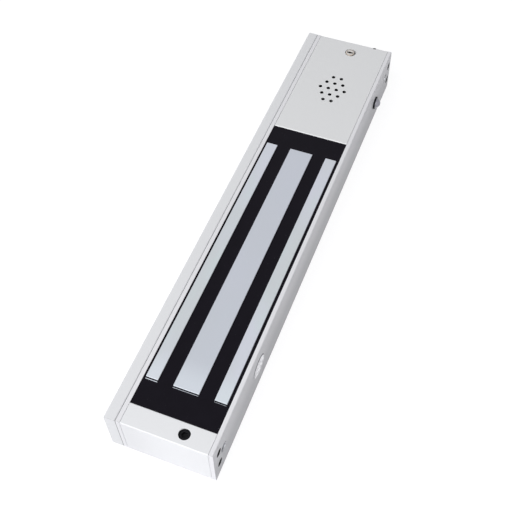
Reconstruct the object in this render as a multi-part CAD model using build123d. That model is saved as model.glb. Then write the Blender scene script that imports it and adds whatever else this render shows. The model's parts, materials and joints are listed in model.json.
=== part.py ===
from build123d import *
import os
from math import sqrt

# Surface-mounted electromagnetic door lock, magnet half, lying on its back.
# Row frame, millimetres: the origin is the centre of the mounting face, +Y is that face's
# outward normal, +Z points out of the pole faces, +X runs towards the electronics end.

# ---------------------------------------------------------------- whole lock
lock_length = 250.0
lock_height = 25.0            # back of the housing to the pole faces
plate_thickness = 5.2
housing_width = 42.8
wall = 2.0
floor = 2.0
pole_proud = 0.2              # pole faces above the housing rim
housing_round = 0.5
plate_round = 0.7

# ---------------------------------------------------------------- clearances, on each side
block_fit = 0.1               # end blocks and partition in the channel
cover_fit = 0.15              # lid in the channel
thread_fit = 0.05             # screws in tapped holes, and pressed or snapped pieces
shank_fit = 0.2               # screws in plain holes
wire_fit = 0.1                # leads in the partition
pin_fit = 0.15                # pins in the board
past = 1.0                    # how far a cut runs past the face that it opens

# ---------------------------------------------------------------- end blocks, partition and lid
near_block_length = 9.8
near_foot_length = 14.6
foot_cover = 3.5              # resin over the near block's foot
far_block_length = 16.0
edge_break = 0.35             # chamfer across the block's and the lid's top
partition_thickness = 1.5
cover_thickness = 2.5
grille_inset = 38.8           # grille centre from the far end
grille_pitch = 4.4
grille_hole = 1.9
grille_rows = (2, 3, 4, 3, 2)
notch_width = 1.6
notch_depth = 0.9
notch_offset = 11.8           # pry notch from the lid's middle line

# ---------------------------------------------------------------- magnet
core_near_gap = 12.9          # near block to the core
core_far_gap = 12.5           # core to the partition
core_plate_gap = 1.0          # core to the wall on the plate side
core_lamp_gap = 1.4           # core to the wall on the lamp side
side_pole = 5.5
pole_window = 6.9
yoke = 6.0
former_wall = 0.7
former_gap = 0.5              # bobbin flange to the side poles
winding_inset = 0.3           # winding inside the flange's edge
coil_corner = 4.0
coil_cover = 1.6              # resin over the coil
resin_recess = 0.4            # resin below the housing rim
sensor_length = 1.6
sensor_width = 4.2
sensor_height = 3.4
sensor_chamfer = 0.5
sensor_lift = 1.6             # sensor above the run of its leads

# ---------------------------------------------------------------- screws
m3 = 3.0
m4 = 4.0
tip_chamfer = 0.3
head_round = 0.3
socket_share = 0.45           # socket depth in a cap head
pan_share = 0.4               # top rounding of a pan head
cross_recess = 2.9
cross_slot = 0.9
cross_share = 0.7             # cross recess depth in a head
cover_screw_inset = 8.0
cover_screw_depth = 5.2       # thread in the far block
cover_head = 4.7
cover_head_height = 1.3
cover_washer = 0.5
cover_counterbore = 5.9
cover_ledge = 0.6             # metal left under the counterbore
counterbore_shift = 0.35      # counterbore drilled a little towards the lamp side
blind_gap = 0.2               # screw tip to the end of its hole
near_screw_inset = 4.9
near_screw_from_seat = 1.8    # past the seats of the plate bolts
near_screw_head = 4.7
near_screw_head_height = 3.0
near_screw_sink = 0.9
near_counterbore = 5.1
hex_m3 = 2.5
hex_m4 = 3.0
core_screw_head = 5.8
core_screw_head_height = 1.5
core_screw_sink = 0.05
core_screw_inset = 17.25      # outer core screws from the core's ends
yoke_skin = 0.4               # steel left over a core screw's hole
set_screw_insets = {"near": 5.1, "far": 4.0}
set_screw_depths = (7.1, 16.7)
set_screw_length = 8.0
set_screw_recess = 0.5
set_screw_hex = 1.5
set_screw_socket = 2.4

# ---------------------------------------------------------------- captive plate bolts and their plugs
plate_bolt_inset = 9.6
plate_bolt_depth = 11.5       # below the pole faces
plate_bolt_head = 7.0
plate_bolt_head_height = 4.0
plate_bolt_travel = 5.4
plate_bolt_head_gap = 0.3     # drawn-back head to the wall
plate_bolt_tip_gap = 0.3      # tip below the mounting face
bolt_washer = 0.8
bolt_pocket = 7.6
key_hole = 4.6
plug_recess = 0.15
plug_reach = 0.1              # plug past the wall's inner face
plug_chamfer = 0.25

# ---------------------------------------------------------------- holes of the mounting plate
slot_inset = 37.0             # slot centres from the ends
slot_length = 14.0
slot_width = 5.2
hole_from_slot = 50.0
hole_spacing_z = 12.0
plate_hole = 5.0
countersink = 2.2
cable_hole = 12.0

# ---------------------------------------------------------------- cable bush, lamp and label
grommet_from_partition = 6.2
grommet_depth = 6.3           # below the lid
grommet_seat = 8.4
grommet_flange = 10.8
grommet_flange_thickness = 1.2
grommet_bore = 6.6
grommet_round = 0.4
led_inset = 28.8
led_depth = 12.0              # below the pole faces
led_diameter = 5.0
led_flange = 5.8
led_flange_thickness = 1.0
led_reach = 3.15              # dome beyond the housing wall
bezel_flange = 6.9
bezel_flange_thickness = 0.9
bezel_tube = 6.0
bezel_length = 4.5            # tube length from the wall's outer face
bezel_round = 0.4
led_leg = 0.5
led_leg_pitch = 2.54
led_leg_reach = 2.2
led_leg_bend = 1.0
label_from_near = 49.0
label_depth = 11.0
label_length = 12.0
label_height = 10.0
label_thickness = 0.1

# ---------------------------------------------------------------- circuit board
board_thickness = 1.6
board_side_gap = 0.8
board_end_gap = 1.8
lid_gap = 1.0                 # relay to the lid
standoff_hex = 5.5
standoff_stub = 3.9
stub_recess = 0.1
standoff_inset = 3.6
board_screw_head = 5.5
board_screw_head_height = 1.9
board_screw_length = 5.0
pin_tail = 1.0                # pins below the board
component_pin = 0.6
coil_lead = 1.4
coil_lead_spread = 10.0
coil_lead_bend = 1.6
sensor_lead = 0.8
sensor_lead_pitch = 1.6
sensor_lead_bend = 0.9
lead_landing = 3.4            # leads reach the board this far past the partition
lead_height = 3.0             # leads run this far above the board

# ---------------------------------------------------------------- terminal block
ways = 5
way_pitch = 5.0
terminal_gap = 10.8           # partition to the wire mouths
terminal_depth = 10.0
terminal_height = 10.0
terminal_end_wall = 0.2
terminal_chamfer = 1.2
clamp_from_mouth = 4.6
clamp_length = 4.2
clamp_width = 3.8
clamp_height = 4.2
clamp_bar = 0.6
clamp_side = 0.5
clamp_travel = 2.0
clamp_lift = 0.9              # lowered clamp above the board
clamp_play = 0.1
well_roof = 0.5               # moulding between the raised clamp and the screw's seat
mouth_inset = 0.2
mouth_sill = 0.3
tongue_thickness = 0.7
tongue_play = 0.3
tongue_inset = 0.2
terminal_pin = 1.0
terminal_pin_inset = 1.8
terminal_screw = 2.5
terminal_screw_head = 3.7
terminal_screw_head_height = 1.6
terminal_screw_slot = 0.7
terminal_screw_slot_depth = 0.75

# ---------------------------------------------------------------- components
relay_length = 15.6
relay_gap = 1.1               # sounder to the relay
relay_height = 11.4
relay_lift = 0.3
relay_edge_gap = 1.0          # relay to the board's edge
relay_round = 0.8
relay_top_round = 0.5
relay_pin_inset_x = 1.8
relay_pin_inset_y = 1.6
sounder_from_partition = 34.0
sounder_diameter = 13.8
sounder_height = 9.5
sounder_round = 0.6
sounder_port = 3.0
sounder_port_depth = 2.5
sounder_pin_pitch = 6.5
jumper_names = ("voltage_jumper_1", "voltage_jumper_2", "sounder_jumper")
header_pitch = 2.54
header_base = 2.5
header_pin = 0.64
header_pin_play = 0.03
header_pin_height = 3.9       # pins above the header's base
header_from_sounder = 7.4     # header's middle ahead of the sounder's middle
header_from_edge = 5.6
shunt_height = 4.4
shunt_skin = 0.3
shunt_hole = 0.84
shunt_gap = 0.1
shunt_chamfer = 0.5
capacitor_diameter = 8.0
capacitor_height = 11.0
capacitor_round = 0.5
capacitor_groove = 0.8
capacitor_groove_depth = 0.3
capacitor_groove_height = 1.4
capacitor_pin_pitch = 3.5
capacitor_from_sounder = 14.6
capacitor_gap = 1.8           # diodes to the can
varistor_diameter = 7.4
varistor_thickness = 3.4
varistor_round = 0.8
varistor_lift = 0.7
varistor_pin_pitch = 5.0
varistor_gap = 1.1            # terminal block to the varistor
chip_length = 4.0
chip_width = 5.0
chip_height = 1.5
chip_chamfer = 0.3
chip_lift = 0.2
chip_span = 6.0               # over its legs
chip_legs = 4                 # on each side
chip_leg_pitch = 1.27
chip_leg = 0.4
chip_from_sounder = 14.2
chip_offset = 5.6             # towards the lamp side
resistor_count = 3
resistor_length = 3.2
resistor_width = 1.2
resistor_height = 0.6
resistor_pitch = 2.2
resistor_from_header = 4.4
diode_count = 2
diode_diameter = 2.6
diode_length = 5.0
diode_round = 0.2
diode_pitch = 3.2
diode_relay_gap = 0.7
diode_screw_gap = 0.35        # last diode to the board screw's head
diode_edge_gap = 1.6

# ---------------------------------------------------------------- places worked out from them
near_x = -lock_length / 2
far_x = lock_length / 2
pole_z = lock_height / 2
back_z = -lock_height / 2
rim_z = pole_z - pole_proud
floor_z = back_z + floor
plate_y = -plate_thickness
lamp_y = plate_y - housing_width
cavity_y1 = plate_y - wall
cavity_y0 = lamp_y + wall
middle_y = (cavity_y0 + cavity_y1) / 2
end_signs = {"near": -1, "far": 1}

near_block_x1 = near_x + near_block_length
sounder_x = far_x - grille_inset
partition_x1 = sounder_x - sounder_from_partition
partition_x0 = partition_x1 - partition_thickness
core_x0 = near_block_x1 + core_near_gap
core_x1 = partition_x0 - core_far_gap
core_x = (core_x0 + core_x1) / 2
core_length = core_x1 - core_x0
core_y1 = cavity_y1 - core_plate_gap
core_y0 = cavity_y0 + core_lamp_gap
core_y = (core_y0 + core_y1) / 2
middle_pole = core_y1 - core_y0 - 2 * (side_pole + pole_window)
yoke_z = floor_z + yoke
core_screw_xs = [core_x0 + core_screw_inset, core_x, core_x1 - core_screw_inset]
cover_z = rim_z - cover_thickness
far_block_x0 = far_x - far_block_length
resin_z = rim_z - resin_recess
coil_z1 = resin_z - coil_cover
flange_reach = pole_window - former_gap
winding_reach = flange_reach - winding_inset
sensor_x = (core_x1 + flange_reach + partition_x0) / 2

slot_xs = [near_x + slot_inset, far_x - slot_inset]
hole_xs = [slot_xs[0] + hole_from_slot, slot_xs[1] - hole_from_slot]
bolt_z = pole_z - plate_bolt_depth
plate_bolt_xs = {end: sign * (lock_length / 2 - plate_bolt_inset) for end, sign in end_signs.items()}
set_screw_xs = {end: sign * (lock_length / 2 - set_screw_insets[end]) for end, sign in end_signs.items()}
set_screw_zs = [pole_z - depth for depth in set_screw_depths]
bolt_seat_y = (cavity_y0 + plate_bolt_head_gap + plate_bolt_travel
               + plate_bolt_head_height + bolt_washer)
cover_screw_x = far_x - cover_screw_inset
near_screw_x = near_x + near_screw_inset
near_screw_y = bolt_seat_y + near_screw_from_seat
near_seat_z = rim_z - near_screw_sink - near_screw_head_height
grommet_x = partition_x1 + grommet_from_partition
grommet_z = cover_z - grommet_depth
led_x = far_x - led_inset
led_z = pole_z - led_depth
led_back_y = lamp_y + bezel_length + led_flange_thickness
led_leg_y = led_back_y + led_leg_reach
led_leg_xs = [led_x + side * led_leg_pitch / 2 for side in (-1, 1)]

board_x0 = partition_x1 + board_end_gap
board_x1 = far_block_x0 - board_end_gap
board_y0 = cavity_y0 + board_side_gap
board_y1 = cavity_y1 - board_side_gap
board_z1 = cover_z - lid_gap - relay_height - relay_lift
board_z0 = board_z1 - board_thickness
standoff_height = board_z0 - floor_z
standoff_places = [(x, y) for x in (board_x0 + standoff_inset, board_x1 - standoff_inset)
                   for y in (board_y0 + standoff_inset, board_y1 - standoff_inset)]
lead_x = partition_x1 + lead_landing
lead_z = board_z1 + lead_height
coil_lead_ys = [middle_y + side * coil_lead_spread / 2 for side in (-1, 1)]
sensor_lead_ys = [middle_y + sensor_lead_pitch * i for i in (-1, 0, 1)]

terminal_x0 = partition_x1 + terminal_gap
terminal_x1 = terminal_x0 + terminal_depth
terminal_pin_x = terminal_x1 - terminal_pin_inset
way_ys = [middle_y + way_pitch * (i - (ways - 1) / 2) for i in range(ways)]
clamp_x = terminal_x0 + clamp_from_mouth
clamp_x0 = clamp_x - clamp_length / 2
clamp_x1 = clamp_x + clamp_length / 2
clamp_z0 = board_z1 + clamp_lift
clamp_z1 = clamp_z0 + clamp_height
tongue_z0 = clamp_z0 + clamp_bar + clamp_travel + clamp_play
tongue_z1 = tongue_z0 + tongue_thickness
tongue_half = clamp_width / 2 - clamp_side - tongue_play
raised_clamp_z = clamp_z1 + clamp_travel + clamp_play
screw_seat_z = raised_clamp_z + well_roof

relay_y0 = middle_y + sounder_diameter / 2 + relay_gap
relay_y1 = board_y1 - relay_edge_gap
relay_width = relay_y1 - relay_y0
relay_y = (relay_y0 + relay_y1) / 2
diode_far_x = board_x1 - standoff_inset - board_screw_head / 2 - diode_screw_gap - diode_diameter / 2
diode_xs = [diode_far_x - diode_pitch * i for i in range(diode_count)]
relay_x = min(diode_xs) - diode_diameter / 2 - diode_relay_gap - relay_length / 2
relay_pins = [(relay_x + i * (relay_length / 2 - relay_pin_inset_x),
               relay_y + j * (relay_width / 2 - relay_pin_inset_y)) for i in (-1, 0, 1) for j in (-1, 1)]
sounder_pins = [(sounder_x + side * sounder_pin_pitch / 2, middle_y) for side in (-1, 1)]
header_x = sounder_x - header_from_sounder
header_y = board_y0 + header_from_edge
header_xs = [header_x + header_pitch * (i - (len(jumper_names) - 1) / 2) for i in range(len(jumper_names))]
header_ys = [header_y + side * header_pitch / 2 for side in (-1, 1)]
diode_y1 = board_y1 - diode_edge_gap
diode_y0 = diode_y1 - diode_length
capacitor_x = sounder_x + capacitor_from_sounder
capacitor_y = diode_y0 - capacitor_gap - capacitor_diameter / 2
capacitor_pins = [(capacitor_x + side * capacitor_pin_pitch / 2, capacitor_y) for side in (-1, 1)]
varistor_x = terminal_x1 + varistor_gap + varistor_thickness / 2
varistor_pins = [(varistor_x, middle_y + i * varistor_pin_pitch) for i in (0, 1)]


# ---------------------------------------------------------------- plain shapes
def block(x0, x1, y0, y1, z0, z1):
    """Box between two corners."""
    middle = Pos((x0 + x1) / 2, (y0 + y1) / 2, (z0 + z1) / 2)
    return middle * Box(abs(x1 - x0), abs(y1 - y0), abs(z1 - z0))


def rod_x(y, z, x0, x1, diameter):
    """Cylinder along X."""
    return Pos((x0 + x1) / 2, y, z) * Rot(0, 90, 0) * Cylinder(diameter / 2, abs(x1 - x0))


def rod_y(x, z, y0, y1, diameter):
    """Cylinder along Y."""
    return Pos(x, (y0 + y1) / 2, z) * Rot(90, 0, 0) * Cylinder(diameter / 2, abs(y1 - y0))


def rod_z(x, y, z0, z1, diameter):
    """Cylinder along Z."""
    return Pos(x, y, (z0 + z1) / 2) * Cylinder(diameter / 2, abs(z1 - z0))


def join(pieces):
    """Sum of a list of shapes; shapes that are apart stay separate solids."""
    total = pieces[0]
    for piece in pieces[1:]:
        total = total + piece
    return total


def hexagon(across_flats, z0, z1):
    """Hexagonal prism on the Z axis."""
    return Pos(0, 0, z0) * extrude(RegularPolygon(across_flats / sqrt(3), 6), z1 - z0)


def bent_wire(points, diameter, bend):
    """Round wire along straight runs joined by tangent arcs."""
    path = FilletPolyline(*points, radius=bend)
    return sweep(Plane(origin=path @ 0, z_dir=path % 0) * Circle(diameter / 2), path=path)


def rims(shape, axis):
    """Round edges of a shape in their order along an axis."""
    return shape.edges().filter_by(GeomType.CIRCLE).sort_by(axis)


def top_edges(shape):
    """Topmost edges that run across the lock."""
    return shape.edges().filter_by(Axis.Y).group_by(Axis.Z)[-1]


def save(shape, node):
    """Write one node's STEP file."""
    export_step(shape, f"parts/{node}.step")


# ---------------------------------------------------------------- screws, head up, bearing face at Z = 0
def shank(diameter, length):
    """Threaded part as a plain cylinder with a chamfered tip."""
    body = Pos(0, 0, -length / 2) * Cylinder(diameter / 2, length)
    return chamfer(rims(body, Axis.Z)[0], tip_chamfer)


def round_head(diameter, height, radius):
    """Cylindrical head with a rounded top edge."""
    head = Pos(0, 0, height / 2) * Cylinder(diameter / 2, height)
    return fillet(rims(head, Axis.Z)[-1], radius)


def cross(top, depth):
    """Cross recess cut down from the height top."""
    arm = Pos(0, 0, top + (past - depth) / 2) * Box(cross_recess, cross_slot, depth + past)
    return arm + Rot(0, 0, 90) * arm


def cap_screw(diameter, length, head, head_height, socket):
    """Socket cap screw."""
    screw = round_head(head, head_height, head_round) + shank(diameter, length)
    return screw - hexagon(socket, head_height * (1 - socket_share), head_height + past)


def pan_screw(diameter, length, head, head_height):
    """Pan head screw with a cross recess."""
    screw = round_head(head, head_height, head_height * pan_share) + shank(diameter, length)
    return screw - cross(head_height, head_height * cross_share)


def countersunk_screw(diameter, length, head, head_height):
    """Countersunk screw with a cross recess, its flat top at Z = 0."""
    cone = Pos(0, 0, -head_height / 2) * Cone(diameter / 2, head / 2, head_height)
    return cone + shank(diameter, length) - cross(0, head_height * cross_share)


def set_screw(diameter, length, socket, socket_depth):
    """Socket set screw, its outer end at Z = 0."""
    body = shank(diameter, length)
    body = chamfer(rims(body, Axis.Z)[-1], tip_chamfer)
    return body - hexagon(socket, -socket_depth, past)


# ---------------------------------------------------------------- shells
def housing():
    """Extruded channel: floor and two side walls, drilled for everything that passes them."""
    shell = block(near_x, far_x, lamp_y, plate_y, back_z, rim_z)
    shell = fillet(shell.edges().filter_by(Axis.X), housing_round)
    shell -= block(near_x - past, far_x + past, cavity_y0, cavity_y1, floor_z, rim_z + past)
    for end in end_signs:
        x = plate_bolt_xs[end]
        shell -= rod_y(x, bolt_z, lamp_y - past, cavity_y0 + past, key_hole)
        shell -= rod_y(x, bolt_z, cavity_y1 - past, plate_y + past, m4 + 2 * shank_fit)
        for z in set_screw_zs:
            shell -= rod_y(set_screw_xs[end], z, lamp_y - past, cavity_y0 + past, m3 + 2 * thread_fit)
    for x in core_screw_xs:
        shell -= core_screw_hole(x)
    for x, y in standoff_places:
        shell -= rod_z(x, y, back_z - past, floor_z + past, standoff_stub + 2 * thread_fit)
    shell -= rod_z(near_screw_x, near_screw_y, back_z - past, floor_z + past, m3 + 2 * thread_fit)
    shell -= rod_y(led_x, led_z, lamp_y - past, cavity_y0 + past, bezel_tube + 2 * thread_fit)
    seat = grommet_seat + 2 * thread_fit
    return shell - rod_y(grommet_x, grommet_z, cavity_y1 - past, plate_y + past, seat)


def core_screw_hole(x):
    """Countersunk hole of one core screw through the floor."""
    hole = m3 + 2 * shank_fit
    mouth = core_screw_head + 2 * thread_fit
    depth = core_screw_sink + core_screw_head_height + thread_fit
    cone = Pos(x, core_y, back_z + depth / 2) * Cone(mouth / 2, hole / 2, depth)
    return cone + rod_z(x, core_y, back_z - past, floor_z + past, hole)


def mounting_plate():
    """Flat bar that is screwed to the door frame, its slots and holes countersunk from inside."""
    bar = block(near_x, far_x, plate_y, 0, back_z, rim_z)
    bar = fillet(bar.edges().filter_by(Axis.X), plate_round)
    inside = Plane(origin=(0, plate_y, 0), x_dir=(1, 0, 0), z_dir=(0, 1, 0))
    mouth = SlotOverall(slot_length + 2 * countersink, slot_width + 2 * countersink)
    for x in slot_xs:
        bar -= extrude(inside * Pos(x, 0) * SlotOverall(slot_length, slot_width), plate_thickness)
        bar -= extrude(inside * Pos(x, 0) * mouth, countersink, taper=45)
    cone = Rot(90, 0, 0) * Cone(plate_hole / 2, plate_hole / 2 + countersink, countersink)
    for x in hole_xs:
        for z in (-hole_spacing_z / 2, hole_spacing_z / 2):
            bar -= rod_y(x, z, plate_y - past, past, plate_hole)
            bar -= Pos(x, plate_y + countersink / 2, z) * cone
    for x in plate_bolt_xs.values():
        bar -= rod_y(x, bolt_z, plate_y - past, past, m4 + 2 * thread_fit)
    return bar - rod_y(grommet_x, grommet_z, plate_y - past, past, cable_hole)


def end_block_cuts(end):
    """Head pocket and clearance hole of the plate bolt, and the two tapped set screw holes."""
    x = plate_bolt_xs[end]
    cuts = rod_y(x, bolt_z, cavity_y0 - past, bolt_seat_y, bolt_pocket)
    cuts += rod_y(x, bolt_z, bolt_seat_y - past, cavity_y1 + past, m4 + 2 * shank_fit)
    tip = lamp_y + set_screw_recess + set_screw_length + blind_gap
    for z in set_screw_zs:
        cuts += rod_y(set_screw_xs[end], z, cavity_y0 - past, tip, m3 + 2 * thread_fit)
    return cuts


def channel_fill(x0, x1, z1):
    """Block that fills the channel from the floor up to z1."""
    return block(x0, x1, cavity_y0 + block_fit, cavity_y1 - block_fit, floor_z, z1)


def near_end_block():
    """Solid block that closes the near end, with a foot under the resin round the plate bolt."""
    body = channel_fill(near_x, near_block_x1, rim_z)
    body = chamfer(top_edges(body), edge_break)
    body += channel_fill(near_screw_x, near_x + near_foot_length, rim_z - foot_cover)
    body -= end_block_cuts("near")
    body -= rod_z(near_screw_x, near_screw_y, floor_z - past, rim_z, m3 + 2 * shank_fit)
    return body - rod_z(near_screw_x, near_screw_y, near_seat_z, rim_z + past, near_counterbore)


def far_end_block():
    """Solid block that closes the far end under the lid."""
    body = channel_fill(far_block_x0, far_x, cover_z) - end_block_cuts("far")
    tip = cover_z - cover_screw_depth - blind_gap
    return body - rod_z(cover_screw_x, middle_y, tip, cover_z + past, m3 + 2 * thread_fit)


def compartment_cover():
    """Flat lid between the side walls, with the sounder grille, the screw hole and a pry notch."""
    lid = block(partition_x0 + cover_fit, far_x, cavity_y0 + cover_fit, cavity_y1 - cover_fit, cover_z, rim_z)
    lid = chamfer(top_edges(lid), edge_break)
    middle_row = (len(grille_rows) - 1) / 2
    for row, count in enumerate(grille_rows):
        for i in range(count):
            x = sounder_x + grille_pitch * (row - middle_row)
            y = middle_y + grille_pitch * (i - (count - 1) / 2)
            lid -= rod_z(x, y, cover_z - past, rim_z + past, grille_hole)
    counterbore_y = middle_y - counterbore_shift
    lid -= rod_z(cover_screw_x, counterbore_y, cover_z + cover_ledge, rim_z + past, cover_counterbore)
    lid -= rod_z(cover_screw_x, middle_y, cover_z - past, rim_z, m3 + 2 * shank_fit)
    notch_y = middle_y - notch_offset
    return lid - block(far_x - notch_depth, far_x + past, notch_y - notch_width / 2,
                       notch_y + notch_width / 2, cover_z - past, rim_z + past)


def partition():
    """Dam between the resin and the electronics, drilled for the leads."""
    plate = channel_fill(partition_x0, partition_x1, cover_z)
    for ys, lead in ((coil_lead_ys, coil_lead), (sensor_lead_ys, sensor_lead)):
        for y in ys:
            plate -= rod_x(y, lead_z, partition_x0 - past, partition_x1 + past, lead + 2 * wire_fit)
    return plate


# ---------------------------------------------------------------- magnet
def magnet_core():
    """E-shaped lamination stack: yoke, two side poles and the middle pole."""
    stack = block(core_x0, core_x1, core_y0, core_y1, floor_z, pole_z)
    inner = middle_pole / 2
    outer = inner + pole_window
    for y0, y1 in ((core_y - outer, core_y - inner), (core_y + inner, core_y + outer)):
        stack -= block(core_x0 - past, core_x1 + past, y0, y1, yoke_z, pole_z + past)
    return stack - core_screw_threads()


def core_screw_threads():
    """Tapped holes in the yoke."""
    return join([rod_z(x, core_y, floor_z - past, yoke_z - yoke_skin, m3 + 2 * thread_fit)
                 for x in core_screw_xs])


def coil_ring(inside, outside, z0, z1):
    """Ring round the middle pole between two reaches, square inside and rounded outside."""
    outer = RectangleRounded(core_length + 2 * outside, middle_pole + 2 * outside, coil_corner)
    inner = Rectangle(core_length + 2 * inside, middle_pole + 2 * inside)
    return Pos(core_x, core_y, z0) * extrude(outer - inner, z1 - z0)


def coil_former():
    """Insulating bobbin: a tube on the middle pole with a flange at each end."""
    outer = Rectangle(core_length + 2 * former_wall, middle_pole + 2 * former_wall)
    tube = extrude(outer - Rectangle(core_length, middle_pole), coil_z1 - yoke_z)
    low = coil_ring(0, flange_reach, yoke_z, yoke_z + former_wall)
    high = coil_ring(0, flange_reach, coil_z1 - former_wall, coil_z1)
    return Pos(core_x, core_y, yoke_z) * tube + low + high


def coil_winding():
    """Copper winding between the bobbin's flanges."""
    return coil_ring(former_wall, winding_reach, yoke_z + former_wall, coil_z1 - former_wall)


def bond_sensor():
    """Small moulded magnetic sensor standing in the resin past the core's end."""
    middle = Pos(sensor_x, middle_y, lead_z + sensor_lift + sensor_height / 2)
    body = middle * Box(sensor_length, sensor_width, sensor_height)
    return chamfer(body.edges().filter_by(Axis.Z).group_by(Axis.X)[-1], sensor_chamfer)


def sensor_leads():
    """Three insulated leads from the sensor to the board."""
    leads = []
    for y in sensor_lead_ys:
        run = [(sensor_x, y, lead_z + sensor_lift), (sensor_x, y, lead_z),
               (lead_x, y, lead_z), (lead_x, y, board_z0 - pin_tail)]
        leads.append(bent_wire(run, sensor_lead, sensor_lead_bend))
    return join(leads)


def coil_leads():
    """Two insulated leads from the coil's end to the board."""
    leads = []
    for y in coil_lead_ys:
        run = [(core_x1 + winding_reach, y, lead_z), (lead_x, y, lead_z), (lead_x, y, board_z0 - pin_tail)]
        leads.append(bent_wire(run, coil_lead, coil_lead_bend))
    return join(leads)


def potting():
    """Resin that fills the channel round core, coil, sensor and the near block's foot."""
    resin = block(near_block_x1, partition_x0, cavity_y0, cavity_y1, floor_z, resin_z)
    foot_x = near_x + near_foot_length
    resin -= block(near_x, foot_x, cavity_y0, cavity_y1, floor_z - past, rim_z - foot_cover)
    for buried in (magnet_core, coil_former, coil_winding, bond_sensor, sensor_leads, coil_leads):
        resin -= buried()
    return resin - core_screw_threads()


# ---------------------------------------------------------------- fasteners
def near_block_screw():
    """Cap screw down through the near block into the floor."""
    length = near_seat_z - back_z - blind_gap
    screw = cap_screw(m3, length, near_screw_head, near_screw_head_height, hex_m3)
    return Pos(near_screw_x, near_screw_y, near_seat_z) * screw


def end_block_screws():
    """Four set screws that pin the end blocks to the side wall."""
    screw = Rot(90, 0, 0) * set_screw(m3, set_screw_length, set_screw_hex, set_screw_socket)
    return join([Pos(x, lamp_y + set_screw_recess, z) * screw
                 for x in set_screw_xs.values() for z in set_screw_zs])


def core_screws():
    """Three countersunk screws through the floor into the yoke."""
    length = floor + yoke - yoke_skin - blind_gap - core_screw_sink
    screw = Rot(180, 0, 0) * countersunk_screw(m3, length, core_screw_head, core_screw_head_height)
    return join([Pos(x, core_y, back_z + core_screw_sink) * screw for x in core_screw_xs])


def plate_bolt(end):
    """Captive cap screw across the end block into the mounting plate."""
    head_y = bolt_seat_y - bolt_washer
    length = -plate_bolt_tip_gap - head_y
    screw = cap_screw(m4, length, plate_bolt_head, plate_bolt_head_height, hex_m4)
    return Pos(plate_bolt_xs[end], head_y, bolt_z) * Rot(90, 0, 0) * screw


def plate_bolt_washer(end):
    """Washer under the captive bolt's head."""
    x = plate_bolt_xs[end]
    y0 = bolt_seat_y - bolt_washer
    disc = rod_y(x, bolt_z, y0, bolt_seat_y, plate_bolt_head)
    return disc - rod_y(x, bolt_z, y0 - past, bolt_seat_y + past, m4 + 2 * thread_fit)


def key_plug(end):
    """Press-in plug that hides the key hole of one plate bolt."""
    plug = rod_y(plate_bolt_xs[end], bolt_z, lamp_y + plug_recess, cavity_y0 + plug_reach,
                 key_hole - 2 * thread_fit)
    return chamfer(rims(plug, Axis.Y)[0], plug_chamfer)


def cover_screw():
    """Pan head screw of the lid."""
    length = cover_ledge + cover_washer + cover_screw_depth
    screw = pan_screw(m3, length, cover_head, cover_head_height)
    return Pos(cover_screw_x, middle_y, cover_z + cover_ledge + cover_washer) * screw


def cover_screw_washer():
    """Spring washer under the lid screw's head."""
    z0 = cover_z + cover_ledge
    z1 = z0 + cover_washer
    disc = rod_z(cover_screw_x, middle_y, z0, z1, cover_head)
    return disc - rod_z(cover_screw_x, middle_y, z0 - past, z1 + past, m3 + 2 * thread_fit)


# ---------------------------------------------------------------- cable bush, lamp and label
def cable_grommet():
    """Rubber bush in the wall that faces the mounting plate."""
    outer_y = plate_y + grommet_flange_thickness
    inner_y = cavity_y1 - grommet_flange_thickness
    bush = rod_y(grommet_x, grommet_z, inner_y, outer_y, grommet_seat)
    bush += rod_y(grommet_x, grommet_z, plate_y, outer_y, grommet_flange)
    bush += rod_y(grommet_x, grommet_z, inner_y, cavity_y1, grommet_flange)
    bush = fillet([rims(bush, Axis.Y)[0], rims(bush, Axis.Y)[-1]], grommet_round)
    return bush - rod_y(grommet_x, grommet_z, inner_y - past, outer_y + past, grommet_bore)


def led_bezel():
    """Black collar of the lamp: a flange outside the wall and a tube through it."""
    face_y = lamp_y - bezel_flange_thickness
    tube_y = lamp_y + bezel_length
    collar = rod_y(led_x, led_z, face_y, lamp_y, bezel_flange)
    collar = fillet(rims(collar, Axis.Y)[0], bezel_round)
    collar += rod_y(led_x, led_z, lamp_y, tube_y, bezel_tube)
    return collar - rod_y(led_x, led_z, face_y - past, tube_y + past, led_diameter + 2 * thread_fit)


def led_lens():
    """Moulded lamp body with a round dome and a rear flange."""
    dome_y = lamp_y - led_reach + led_diameter / 2
    body = rod_y(led_x, led_z, dome_y, led_back_y, led_diameter)
    body += Pos(led_x, dome_y, led_z) * Sphere(led_diameter / 2)
    return body + rod_y(led_x, led_z, lamp_y + bezel_length, led_back_y, led_flange)


def led_legs():
    """Two legs from the lamp down through the board."""
    legs = []
    for x in led_leg_xs:
        run = [(x, led_back_y, led_z), (x, led_leg_y, led_z), (x, led_leg_y, board_z0 - pin_tail)]
        legs.append(bent_wire(run, led_leg, led_leg_bend))
    return join(legs)


def oval_label():
    """Thin blank oval label on the lamp side."""
    centre = (near_x + label_from_near, lamp_y, pole_z - label_depth)
    face = Plane(origin=centre, x_dir=(1, 0, 0), z_dir=(0, -1, 0))
    return extrude(face * Ellipse(label_length / 2, label_height / 2), label_thickness)


# ---------------------------------------------------------------- circuit board and its mounting
def board_standoffs():
    """Four hexagonal pillars clinched into the floor."""
    pillar = hexagon(standoff_hex, 0, standoff_height)
    pillar += rod_z(0, 0, stub_recess - floor, 0, standoff_stub)
    thread = board_screw_length - board_thickness + blind_gap
    pillar -= rod_z(0, 0, standoff_height - thread, standoff_height + past, m3 + 2 * thread_fit)
    return join([Pos(x, y, floor_z) * pillar for x, y in standoff_places])


def board_screws():
    """Four pan head screws that hold the board."""
    screw = pan_screw(m3, board_screw_length, board_screw_head, board_screw_head_height)
    return join([Pos(x, y, board_z1) * screw for x, y in standoff_places])


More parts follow.
